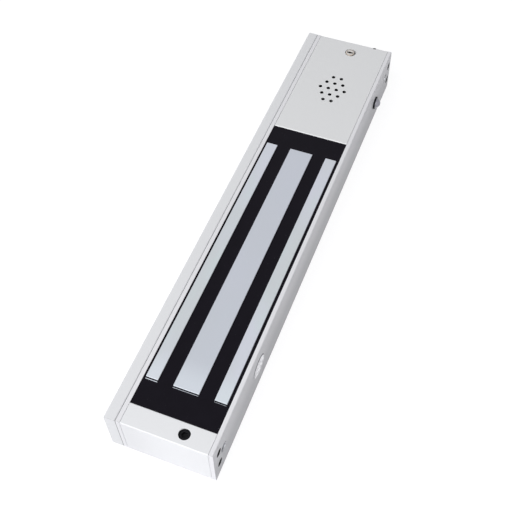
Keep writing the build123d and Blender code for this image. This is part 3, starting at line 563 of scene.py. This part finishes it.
# ---------------------------------------------------------------- resin
# Black epoxy poured round the core until it is just under the rim. It has crept up the
# walls and the poles by its own skin, and set dull, with slow waves and a few pits.
epoxy = Finish("poured_epoxy", Specular_IOR_Level=0.05)
ripple = epoxy.noise(5.0, detail=3)
pit = epoxy.noise(0.35, detail=2)
dust = epoxy.band(epoxy.noise(0.55, detail=1), 0.76, 0.80)
tar = epoxy.blend(ripple, srgb(16, 14, 20), srgb(21, 19, 26))
epoxy.paint(Base_Color=epoxy.blend(0.25 * dust, tar, srgb(90, 88, 94)),
            Roughness=0.42 + 0.14 * ripple, Normal=epoxy.bump(0.8 * ripple + 0.2 * pit, 0.05))
shown(epoxy.material, "potting")

pour_x = (-115.2, 50.7)
pour_y = (-46.0, -7.2)
pole_x = (-102.3, 38.2)
pour_level = 11.92
creep_height = 0.22
creep_reach = 0.35
skin_thickness = 0.3


def pour_lines(low, high, edges):
    """Grid lines a few millimetres apart, and close together at each edge that resin climbs."""
    steps = np.array([0.04, 0.12, 0.25, 0.45, 0.8, 1.3])
    close = np.concatenate([np.array(edges)[:, None] + steps, np.array(edges)[:, None] - steps])
    lines = np.concatenate([np.linspace(low, high, 50), close.ravel()])
    return np.unique(np.clip(lines, low, high).round(4))


def resin_height(x, y):
    """Level of the pour, plus two slow waves, plus a meniscus that falls off exponentially
    with the distance to the nearest wall or pole. Under a pole the skin dips out of sight."""
    wall = np.minimum(np.minimum(x - pour_x[0], pour_x[1] - x),
                      np.minimum(y - pour_y[0], pour_y[1] - y))
    pole = np.full_like(x, 99.0)    # distance past the nearest pole, less than 0 under it
    for y0, y1 in pole_sides:
        past_x = np.maximum(np.maximum(pole_x[0] - x, x - pole_x[1]), np.maximum(y0 - y, y - y1))
        pole = np.minimum(pole, past_x)
    waves = 0.012 * np.sin(x / 7.3) * np.cos(y / 4.1) + 0.006 * np.sin(x / 2.9 + y / 3.7)
    creep = creep_height * np.exp(-np.minimum(wall, np.abs(pole)) / creep_reach)
    return np.where(pole < 0, pour_level - skin_thickness, pour_level + waves + creep)


skin_x, skin_y = np.meshgrid(pour_lines(*pour_x, (*pour_x, *pole_x)),
                             pour_lines(*pour_y, (*pour_y, *np.ravel(pole_sides))), indexing="ij")
skin = np.stack([skin_x, skin_y, resin_height(skin_x, skin_y)], -1)
number = np.arange(skin_x.size).reshape(skin_x.shape)
skin_faces = np.stack([number[:-1, :-1], number[1:, :-1], number[1:, 1:], number[:-1, 1:]], -1)
resin_skin = bpy.data.meshes.new("resin_skin")
resin_skin.from_pydata((skin.reshape(-1, 3) * MM).tolist(), [], skin_faces.reshape(-1, 4).tolist())
skin_piece = added("resin_skin", resin_skin, epoxy.material, "magnet_body")
layer = skin_piece.modifiers.new("thickness", "SOLIDIFY")
layer.thickness = skin_thickness * MM
layer.offset = -1

# ---------------------------------------------------------------- screws
# Steel screws with rolled threads and forged heads that have their recess punched in.
# Each is one surface: rows of points from the tip up the thread, over the head and down
# into the recess.
COLUMNS = 72    # points round each turned piece
turn = np.arange(COLUMNS) * 2 * np.pi / COLUMNS
heads_to = {"+Z": np.eye(3), "-Z": np.diag([1.0, -1.0, -1.0]),
            "-Y": np.array([[1.0, 0, 0], [0, 0, -1.0], [0, 1.0, 0]])}


def turned(radius, height, place, axis="+Z"):
    """Grid of points round an axis through a place: a row for each height, at a radius that
    may change with the angle."""
    radius, height = np.broadcast_arrays(radius, height, turn[None, :])[:2]
    grid = np.stack([radius * np.cos(turn), radius * np.sin(turn), height], -1)
    return grid @ heads_to[axis].T + np.array(place)


def eased(corners, radius, ring=False, steps=5):
    """Profile whose corners are replaced by quadratic curves that start and end the radius
    away, or half a side away where that is less. Returns columns of radii and heights."""
    points = np.array(corners, float)
    before, after = np.roll(points, 1, 0) - points, np.roll(points, -1, 0) - points
    if not ring:
        before[0], after[-1] = 0, 0
    reach = [np.minimum(1, 2 * radius / np.maximum(np.linalg.norm(side, axis=1), 1e-9))[:, None] / 2
             for side in (before, after)]
    start, end = points + before * reach[0], points + after * reach[1]
    if not ring:
        start[0] = end[0] = points[0]
        start[-1] = end[-1] = points[-1]
    share = np.linspace(0, 1, steps)[None, :, None]
    curve = ((1 - share) ** 2 * start[:, None] + 2 * share * (1 - share) * points[:, None]
             + share ** 2 * end[:, None]).reshape(-1, 2)
    return curve[:, :1], curve[:, 1:]


def hexagonal(across):
    """Outline of a hexagon socket: half its width over the cosine of the angle from the
    middle of the nearest side."""
    return across / 2 / np.cos((turn + np.pi / 6) % (np.pi / 3) - np.pi / 6)


def crossed(length, width, second=1.0):
    """Outline of a cross recess whose second arm is that share of the first. Each arm reaches
    to the nearer of its end and its side, and the longer reach of the two holds."""
    along, across = np.maximum(np.abs([np.sin(turn), np.cos(turn)]), 1e-6)
    return np.maximum(np.minimum(length / along, width / across),
                      np.minimum(second * length / across, width / along)) / 2


def screw(size, length, pitch, head, recess, depth, place, axis):
    """Grid of a screw whose bearing face is at height 0. The thread's radius falls from the
    size by a triangle wave of the height over the pitch less the share of a turn, and the tip
    is tapered. The head is a column of radii and one of heights. The recess is an outline of
    radii, a little wider at its lip, and the punch has left a shallow cone in its floor."""
    cut = 0.6 * pitch
    under_head, lip, cone = 0.2, 0.05, 0.15
    rise = np.arange(-length, -under_head, pitch / 8)[:, None]
    wave = np.abs(2 * ((rise / pitch - turn / (2 * np.pi)) % 1) - 1)
    thread = np.minimum(size / 2 - cut * wave, size / 2 - cut + rise + length)
    top = head[1][-1, 0]
    round_once = np.ones((1, COLUMNS))
    radius = np.concatenate([0 * round_once, thread, head[0] * round_once,
                             [recess + lip, recess, recess], 0 * round_once])
    height = np.concatenate([[[-length]], rise, head[1],
                             [[top], [top - lip], [top - depth], [top - depth - cone]]])
    return turned(radius, height, place, axis)


def screws(name, material, grids, node):
    """Like screws or plugs of one CAD node, in its place."""
    mesh = skinned(name, grids)
    mesh.set_sharp_from_angle(angle=math.radians(40))
    placed(name, mesh, material, node)


def worked(name, first, second, rough, **fixed):
    """Plated or blackened steel, rubbed unevenly by the work."""
    finish = Finish(name, **fixed)
    rub = finish.noise(0.9, detail=3)
    return finish.paint(Base_Color=finish.blend(rub, first, second), Roughness=rough + 0.16 * rub)


black_oxide = worked("black_oxide", srgb(8, 8, 12), srgb(24, 24, 28), 0.42,
                     Specular_IOR_Level=0.12)
bright_zinc = worked("bright_zinc", srgb(176, 180, 184), srgb(214, 217, 220), 0.25, Metallic=0.85)

# The lid screw's zinc is pale yellow and browner towards its rim; painted shade darkens it down in
# its recess.
yellow_zinc = Finish("pale_yellow_zinc", Metallic=0.4)
rub = yellow_zinc.noise(0.9, detail=3)
from_middle = yellow_zinc.away(yellow_zinc.axis("X") - lid_screw_x,
                               yellow_zinc.axis("Y") - lid_screw_y)
height = yellow_zinc.axis("Z")
recess_reach = 1.65
rim_share = yellow_zinc.band(from_middle, recess_reach, 2.15)
below_rim = yellow_zinc.band(height, 12.14, 12.06) * (height > 11.0)
recess_shade = (from_middle < recess_reach) * below_rim
zinc_tone = yellow_zinc.blend(rub, srgb(196, 193, 190), srgb(209, 207, 205))
zinc_tone = yellow_zinc.blend(rim_share, zinc_tone, srgb(186, 173, 160))
yellow_zinc.paint(Base_Color=yellow_zinc.blend(0.9 * recess_shade, zinc_tone, srgb(52, 42, 38)),
                  Roughness=0.34 + 0.12 * rub)

cap_m3 = eased([(1.5, 0), (2.35, 0), (2.35, 3.0), (1.6, 3.0)], 0.3)
screws("near_cap_screw", black_oxide,
       [screw(3, 20.7, 0.5, cap_m3, hexagonal(2.5), 1.35, (cap_screw_x, cap_screw_y, 8.4), "+Z")],
       "near_block_screw")
set_end = eased([(1.45, -0.35), (1.2, 0), (0.95, 0)], 0.05)
screws("end_set_screws", black_oxide,
       [screw(3, 8.0, 0.5, set_end, hexagonal(1.5), 2.4, (x, -47.5, z), "-Y")
        for x in (-near_set_screw, far_set_screw) for z in set_screw_heights], "end_block_screws")
cap_m4 = eased([(2.0, 0), (3.5, 0), (3.5, 4.0), (2.0, 4.0)], 0.4)
ends = (("near", -key_hole_x), ("far", key_hole_x))
for end, x in ends:
    screws(end + "_captive_bolt", black_oxide,
           [screw(4, 36.0, 0.7, cap_m4, hexagonal(3.0), 1.8, (x, -36.3, key_hole_z), "-Y")],
           end + "_plate_bolt")
sunk_m3 = eased([(1.5, -1.5), (2.84, -0.12), (2.9, 0), (1.7, 0)], 0.05)
screws("yoke_screws", bright_zinc,
       [screw(3, 7.35, 0.5, sunk_m3, crossed(2.9, 0.9), 1.05, (x, middle_pole_y, -12.45), "-Z")
        for x in (-85.05, -32.05, 20.95)], "core_screws")
pan_board = eased([(1.5, 0), (2.75, 0), (2.75, 1.9), (1.6, 1.9)], 0.8)
screws("board_pan_screws", bright_zinc,
       [screw(3, 5.0, 0.5, pan_board, crossed(2.9, 0.9), 1.3, (x, y, -2.9), "+Z")
        for x in (57.6, 103.6) for y in (-41.6, -11.6)], "board_screws")
pan_cover = eased([(1.5, 0), (2.35, 0), (2.35, 1.3), (1.6, 1.3)], 0.5)
screws("lid_screw", yellow_zinc.material,
       [screw(3, 6.3, 0.5, pan_cover, crossed(3.2, 0.95, 0.5), 0.9,
              (lid_screw_x, lid_screw_y, 10.9), "+Z")], "cover_screw")


# ---------------------------------------------------------------- washers and key plugs
# Stamped washers under the lid screw and under the two captive bolts, and the two pressed
# steel cup plugs that hide the bolts' key holes. Painted shade darkens the inside of the cups.
def washer(name, material, inner, outer, low, high, place, axis, node):
    """Flat ring with rubbed edges. Its top stays a hair under the head that turns on it."""
    profile = eased([(inner, low), (outer, low), (outer, high), (inner, high)], 0.08, ring=True)
    mesh = skinned(name, [turned(*profile, place, axis)], ring=True)
    mesh.set_sharp_from_angle(angle=math.radians(50))
    placed(name, mesh, material, node)


washer("lid_screw_washer", bright_zinc, 1.55, 2.35, 0, 0.48, (lid_screw_x, lid_screw_y, 10.4),
       "+Z", "cover_screw_washer")
pressed_steel = Finish("pressed_steel", Metallic=0.5)
rub = pressed_steel.noise(0.7, (1, 1, 2), 3)
# Painted shade down inside each plug's cup.
cup = pressed_steel.band(pressed_steel.axis("Y"), -47.7, -47.4)
plug_tone = pressed_steel.blend(rub, srgb(176, 178, 184), srgb(206, 208, 213))
pressed_steel.paint(Base_Color=pressed_steel.blend(0.75 * cup, plug_tone, srgb(74, 74, 80)),
                    Roughness=0.22 + 0.14 * rub)
plug_profile = eased([(0, 45.9), (2.25, 45.9), (2.25, 47.85), (2.0, 47.85), (1.9, 46.9),
                      (0, 46.9)], 0.08)
for end, x in ends:
    washer(end + "_captive_washer", bright_zinc, 2.05, 3.5, 35.5, 36.28, (x, 0, key_hole_z),
           "-Y", end + "_bolt_washer")
    screws(end + "_steel_plug", pressed_steel.material,
           [turned(*plug_profile, (x, 0, key_hole_z), "-Y")], end + "_key_plug")

# ---------------------------------------------------------------- cable bush
# A soft rubber bush that is pushed through the wall facing the mounting plate, with a lip
# on each side of the wall.
rubber = Finish("black_rubber")
grain = rubber.noise(0.3, detail=4)
rubber.paint(Base_Color=rubber.blend(grain, srgb(24, 24, 24), srgb(42, 42, 42)),
             Roughness=0.68 + 0.14 * grain, Normal=rubber.bump(grain, 0.02))
bush_profile = eased([(3.3, 4.0), (5.4, 4.0), (5.4, 5.2), (4.2, 5.2), (4.2, 7.2), (5.4, 7.2),
                      (5.4, 8.4), (3.3, 8.4)], 0.4, ring=True)
bush = skinned("cable_bush", [turned(*bush_profile, (58.4, 0, 3.5), "-Y")], ring=True)
placed("cable_bush", bush, rubber.material, "cable_grommet")

# A block of the same rubber fills the lid's pry notch, flush with the lid, as painted shade where
# the notch is in shadow.
notch_low, notch_high = (124.12, -39.18, 10.0), (124.98, -37.62, 12.28)
notch_shade_block = added("notch_shade_block", skinned("notch_shade_block", [bar(notch_low, notch_high)]),
                   rubber.material, "cover")
soft_edge = notch_shade_block.modifiers.new("soft_edge", "BEVEL")
soft_edge.width = 0.1 * MM
soft_edge.segments = 2


# ---------------------------------------------------------------- status lamp
# A 5 mm lamp of milky lilac epoxy in a black plastic collar. It is off, and its dark cup
# shows as a grey spot behind the dome.
lamp_x, lamp_z = 96.2, 0.5
dome_radius, dome_middle = 2.5, 48.65


def lamp_cup(finish):
    """About a third over the cup in the middle of the dome, fading with the distance."""
    from_middle = finish.away(finish.axis("X") - lamp_x, finish.axis("Z") - lamp_z)
    return 0.35 * finish.band(from_middle, 1.6, 0.9)


milky = Finish("milky_epoxy", Coat_Weight=0.6, Coat_Roughness=0.05)
haze = milky.noise(2.0)
epoxy_tone = milky.blend(haze, srgb(142, 142, 154), srgb(170, 170, 180))
milky.paint(Base_Color=milky.blend(lamp_cup(milky), epoxy_tone, srgb(92, 92, 104)),
            Roughness=0.22 + 0.06 * haze)
arc = np.linspace(0, np.pi / 2, 14)[1:, None]
lens_foot = eased([(0, 42.5), (2.9, 42.5), (2.9, 43.5), (dome_radius, 43.5),
                   (dome_radius, dome_middle)], 0.1)
lens_radius = np.concatenate([lens_foot[0], dome_radius * np.cos(arc)])
lens_height = np.concatenate([lens_foot[1], dome_middle + dome_radius * np.sin(arc)])
lens = skinned("lamp_dome", [turned(lens_radius, lens_height, (lamp_x, 0, lamp_z), "-Y")])
lens.set_sharp_from_angle(angle=math.radians(40))
placed("lamp_dome", lens, milky.material, "led_lens")
collar = Finish("collar_black", Specular_IOR_Level=0.2)
grain = collar.noise(0.6)
collar.paint(Base_Color=collar.blend(grain, srgb(9, 9, 18), srgb(16, 16, 25)),
             Roughness=0.3 + 0.1 * grain)
collar_profile = eased([(2.55, 43.5), (3.0, 43.5), (3.0, 48.0), (3.45, 48.0), (3.45, 48.9),
                        (2.55, 48.9)], 0.3, ring=True)
lamp_collar = skinned("lamp_collar", [turned(*collar_profile, (lamp_x, 0, lamp_z), "-Y")],
                      ring=True)
placed("lamp_collar", lamp_collar, collar.material, "led_bezel")


# ---------------------------------------------------------------- oval label
# A thin metallised film label, blank, with an embossed rim and a painted shadow line along
# its upper side, under the rim. It is glued to the lamp side.
label_x, label_z = -76, 1.5
label_half_length, label_half_height = 6.0, 5.0
shadow_drop = 0.6


def painted_rim_shadow(finish):
    """Painted shadow: 1 on a thin crescent along the label's upper side, outside an oval of the
    label's own size that lies a little lower."""
    from_middle = finish.away((finish.axis("X") - label_x) / label_half_length,
                              (finish.axis("Z") - (label_z - shadow_drop)) / label_half_height)
    return finish.band(from_middle, 0.92, 0.98)


film = Finish("silver_film", Metallic=0.8)
grain = film.noise(0.2)
clouding = film.band(film.noise(1.2, (1.6, 1, 1), 3), 0.42, 0.56)
field = film.blend(0.75 * clouding + 0.25 * grain, srgb(176, 176, 183), srgb(250, 250, 252))
# The dark crescent is painted shadow under the raised rim.
film.paint(Base_Color=film.blend(painted_rim_shadow(film), field, srgb(92, 92, 100)),
           Roughness=0.30 + 0.1 * grain)
# Radii as shares of the oval, and heights over the wall: foot, edge, raised rim, sunk field.
label_rows = np.array([[0, 0], [1, 0], [1, 0.07], [0.985, 0.1], [0.89, 0.1], [0.86, 0.05],
                       [0, 0.05]])
label_grid = turned(label_rows[:, :1], label_rows[:, 1:], (0, 0, 0)) * np.array(
    [label_half_length, label_half_height, 1.0])
label = skinned("blank_label", [label_grid @ heads_to["-Y"].T + np.array([label_x, -48, label_z])])
label.set_sharp_from_angle(angle=math.radians(30))
placed("blank_label", label, film.material, "oval_label")


# ---------------------------------------------------------------- circuit board
# Green glass-fibre board with a pale edge. Copper tracks stand a little under the mask,
# pale outlines mark where the large parts go, and each joint is a bead of solder.
def board_edge(finish):
    """1 on the sawn sides."""
    return finish.band(abs(finish.facing("Z")), 0.7, 0.5)


def part_outlines(finish):
    """1 on thin lines round the sounder, the relay and the terminal block. A line is where
    the distance to a circle is near 0, or the distance to a box, which is the larger of the
    distances past its two half sizes."""
    x, y = finish.axis("X"), finish.axis("Y")
    sounder_line = abs(finish.away(x - sounder_x, y - sounder_y) - 7.5)
    relay_line = abs((abs(x - 86.2) - 8.3) | (abs(y + 13.8) - 5.2))
    block_line = abs((abs(x - 68.0) - 5.5) | (abs(y + 26.6) - 13.2))
    lines = [finish.band(line, 0.14, 0.08) for line in (sounder_line, relay_line, block_line)]
    return (lines[0] | lines[1] | lines[2]) * (finish.facing("Z") > 0.9)


shown(moulded("green_mask", srgb(16, 92, 52), srgb(24, 112, 62), 0.30,
              (part_outlines, srgb(226, 228, 222), 0.0, 0.5),
              (board_edge, srgb(186, 178, 132), 0.0, 0.6)), "circuit_board")


def track(path, width, low, high):
    """Grid of a flat strip along a path of points, each section square to the mean direction
    of its two runs, with its two ends gathered in a point."""
    path = np.array(path, float)
    runs = np.diff(path, axis=0)
    runs /= np.linalg.norm(runs, axis=1)[:, None]
    mean = np.concatenate([runs[:1], (runs[:-1] + runs[1:]) / 2, runs[-1:]])
    square = np.stack([-mean[:, 1], mean[:, 0]], -1)
    aside = square / np.sum(mean * mean, 1)[:, None] * width / 2
    left, right = path + aside, path - aside
    section = [np.column_stack([side, np.full(len(path), z)])
               for side, z in ((left, low), (right, low), (right, high), (left, high))]
    grid = np.stack(section, 1)
    ends = [np.repeat(grid[i].mean(0)[None], 4, 0)[None] for i in (0, -1)]
    return np.concatenate([ends[0], grid, ends[1]])


board_top = -2.9
track_width = 0.9
track_height = 0.05
track_paths = (((72, -36.6), (74.0, -38.33), (76.3, -38.33)),
               ((72, -31.6), (76, -31.6), (81.5, -37.1), (81.5, -38.3)),
               ((72, -26.6), (75.8, -26.6), (75.8, -24.1)),
               ((72, -21.6), (74.2, -19.4), (78.6, -19.4), (80.2, -17.8)),
               ((72, -16.6), (79, -16.6)),
               ((55.6, -31.6), (58.6, -34.6), (62.2, -34.6)),
               ((55.6, -21.6), (59.0, -18.2), (62.2, -18.2)),
               ((55.6, -28.2), (58.2, -28.2), (60, -26.4), (63, -26.4)),
               ((92.6, -29.6), (94.4, -31.4), (97.6, -31.6)),
               ((97.6, -32.8), (97.47, -34), (97.47, -40.1)),
               ((97.6, -34.1), (95.2, -36.4), (90.2, -36.4), (90.1, -38.0)),
               ((94.93, -40.1), (94.93, -42.6), (87.9, -42.6), (87.9, -41.2)),
               ((103.2, -31.6), (105.8, -29), (105.8, -19), (102.6, -15.8)),
               ((100.8, -24.0), (100.8, -28.2), (102.6, -30.3)),
               ((96, -15), (96, -17.4), (94.4, -19)),
               ((85.7, -41.2), (85.7, -43.6), (76.3, -43.6), (76.3, -41.0)))
tracks = skinned("board_tracks", [track(path, track_width, board_top - track_height,
                                        board_top + track_height) for path in track_paths])
added("board_tracks", tracks,
      moulded("mask_over_copper", srgb(34, 128, 70), srgb(42, 140, 78), 0.28),
      "magnet_body")

solder = Finish("solder", Metallic=0.9)
rub = solder.noise(0.7, detail=3)
solder.paint(Base_Color=solder.blend(rub, srgb(186, 188, 190), srgb(214, 216, 216)),
             Roughness=0.18 + 0.18 * rub)
bead = eased([(0, -0.1), (0.85, -0.1), (0.85, 0.02), (0.3, 0.32), (0, 0.36)], 0.2)
small_bead = bead[0] * 0.5, bead[1]
lead_places = [(55.6, y) for y in (-31.6, -21.6, -28.2, -26.6, -25.0)]
lead_places += [(x, -40.3) for x in (94.93, 97.47)]
foot_places = [(x, y) for x in (97.6, 103.2) for y in (-34.105, -32.835, -31.565, -30.295)]
foot_places += [(x, y) for x in (85.74, 87.94, 90.14) for y in (-41.25, -37.95)]
foot_places += [(x, y) for x in (96.0, 99.2) for y in (-14.7, -9.5)]
beads = skinned("solder_beads", [*(turned(*bead, (x, y, board_top)) for x, y in lead_places),
                                 *(turned(*small_bead, (x, y, board_top)) for x, y in foot_places)])
added("solder_beads", beads, solder.material, "magnet_body")

# ---------------------------------------------------------------- standoffs
# Hexagonal pillars of nickel-plated brass that hold the board clear of the channel's floor.
# Each is clinched into the floor and tapped for one board screw.
nickel = worked("nickel_plate", srgb(192, 188, 176), srgb(218, 214, 204), 0.22, Metallic=0.9)
dressed("board_standoffs", 0.12, nickel)

# ---------------------------------------------------------------- terminal block
# A green nylon moulding with five ways. In each a slotted screw draws a tinned clamp up
# against a contact tongue.
terminal_green = moulded("terminal_green", srgb(26, 122, 66), srgb(34, 140, 78), 0.42)
dressed("terminal_block", 0.12, terminal_green)
tin = worked("tinned_metal", srgb(190, 190, 184), srgb(216, 216, 210), 0.24, Metallic=0.9)
shown(tin, "terminal_pins", "led_legs")
for way in range(1, 6):
    dressed("terminal_clamp_%d" % way, 0.08, tin)
    dressed("terminal_screw_%d" % way, 0.06, bright_zinc)


# ---------------------------------------------------------------- relay and sounder
# The relay has a sealed orange case with a paler gate mark. The sounder is a black can
# with a stepped top and one sound port, under the lid's grille.
def gate_mark(finish):
    """1 on a round mark on the case's top."""
    from_middle = finish.away(finish.axis("X") - 91.4, finish.axis("Y") + 16.4)
    return finish.band(from_middle, 0.8, 0.7) * (finish.axis("Z") > 8)


dressed("relay", 0.10, moulded("relay_orange", srgb(204, 94, 28), srgb(220, 110, 40), 0.28,
                               (gate_mark, srgb(236, 150, 90), 0.0, 0.5)))
can_black = moulded("can_black", srgb(20, 20, 22), srgb(30, 30, 32), 0.36)
can_profile = eased([(0, board_top), (6.9, board_top), (6.9, 6.6), (5.2, 6.6), (5.0, 6.35),
                     (2.6, 6.35), (2.4, 6.6), (1.5, 6.6), (1.5, 4.1), (0, 4.1)], 0.25)
pin_profile = eased([(0, -5.5), (0.3, -5.5), (0.3, -2.3), (0, -2.3)], 0.1)
can = skinned("sounder_can", [turned(*can_profile, (sounder_x, sounder_y, 0)),
                              *(turned(*pin_profile, (x, sounder_y, 0)) for x in (82.95, 89.45))])
can.set_sharp_from_angle(angle=math.radians(40))
placed("sounder_can", can, can_black, "sounder")

# ---------------------------------------------------------------- jumper header
# A black header with six tinned pins and three blue pull-off jumpers that set the supply
# voltage and switch the sounder.
dressed("jumper_header", 0.06, can_black)
shown(tin, "header_pins")
jumper_blue = moulded("jumper_blue", srgb(30, 60, 150), srgb(40, 76, 170), 0.33)
for node in ("voltage_jumper_1", "voltage_jumper_2", "sounder_jumper"):
    dressed(node, 0.08, jumper_blue)


# ---------------------------------------------------------------- capacitor and varistor
# An aluminium can in a dark sleeve with a pale stripe on the negative side and a scored
# vent on its bare top, and a dipped ceramic disc.
can_x, can_y = 100.8, -20.4
can_shoulder = 7.5


def bare_top(finish):
    """1 on the can's top inside the sleeve's rolled edge."""
    from_middle = finish.away(finish.axis("X") - can_x, finish.axis("Y") - can_y)
    return finish.band(from_middle, 3.5, 3.4) * (finish.axis("Z") > can_shoulder)


def vent_score(finish):
    """More than half on the two crossed grooves of the top."""
    x, y = finish.axis("X") - can_x, finish.axis("Y") - can_y
    cross = finish.band(abs(x), 0.22, 0.12) | finish.band(abs(y), 0.22, 0.12)
    inside = finish.band(finish.away(x, y), 2.7, 2.5)
    return 0.6 * cross * inside * (finish.axis("Z") > can_shoulder)


def polarity_stripe(finish):
    """1 on a stripe down the side that faces the lamp."""
    stripe = finish.band(abs(finish.axis("X") - can_x), 1.3, 1.2) * (finish.axis("Y") < -21)
    return stripe * (finish.axis("Z") < 7.4)


sleeve = moulded("sleeve_navy", srgb(24, 28, 54), srgb(32, 36, 66), 0.26,
                 (polarity_stripe, srgb(196, 198, 206), 0.0, 0.3),
                 (bare_top, srgb(198, 200, 204), 0.8, 0.3),
                 (vent_score, srgb(96, 98, 102), 0.8, 0.4))
sleeve_profile = eased([(0, board_top), (4.0, board_top), (4.0, -1.6), (3.7, -1.35),
                        (3.7, -0.95), (4.0, -0.7), (4.0, 8.1), (3.5, 8.1), (3.4, 7.95),
                        (0, 7.95)], 0.3)
sleeved = skinned("sleeved_can", [turned(*sleeve_profile, (can_x, can_y, 0)),
                                  *(turned(*pin_profile, (x, can_y, 0)) for x in (99.05, 102.55))])
sleeved.set_sharp_from_angle(angle=math.radians(50))
placed("sleeved_can", sleeved, sleeve, "capacitor")
dressed("varistor", 0.12, moulded("dipped_blue", srgb(28, 74, 150), srgb(40, 92, 170), 0.38))


# ---------------------------------------------------------------- chip, resistors and diodes
# Small parts soldered on the board's surface: a moulded chip with tinned legs, ceramic
# resistors with tinned ends, and glass diodes with tinned caps and a pale band.
def chip_legs(finish):
    """1 outside the chip's body."""
    return abs(finish.axis("X") - 100.4) > 2.01


def resistor_ends(finish):
    """1 on the last half millimetre of each resistor."""
    return finish.band(abs(finish.axis("Y") + 39.6), 1.02, 1.10)


def diode_caps(finish):
    """1 on the caps at both ends of each diode."""
    return finish.band(abs(finish.axis("Y") + 12.1), 1.78, 1.84)


def diode_band(finish):
    """1 on the band near the cathode."""
    return finish.band(abs(finish.axis("Y") + 11.0), 0.34, 0.28)


tin_tone = srgb(206, 206, 202)
dressed("control_chip", 0.05, moulded("chip_black", srgb(22, 22, 24), srgb(34, 34, 36), 0.42,
                                      (chip_legs, tin_tone, 0.9, 0.26)))
dressed("resistors", 0.05, moulded("resistor_glaze", srgb(18, 18, 20), srgb(26, 26, 28), 0.3,
                                   (resistor_ends, tin_tone, 0.9, 0.3)))
dressed("diodes", 0.08, moulded("diode_glass", srgb(24, 22, 22), srgb(36, 32, 32), 0.2,
                                (diode_band, srgb(214, 212, 204), 0.0, 0.3),
                                (diode_caps, tin_tone, 0.9, 0.24)))
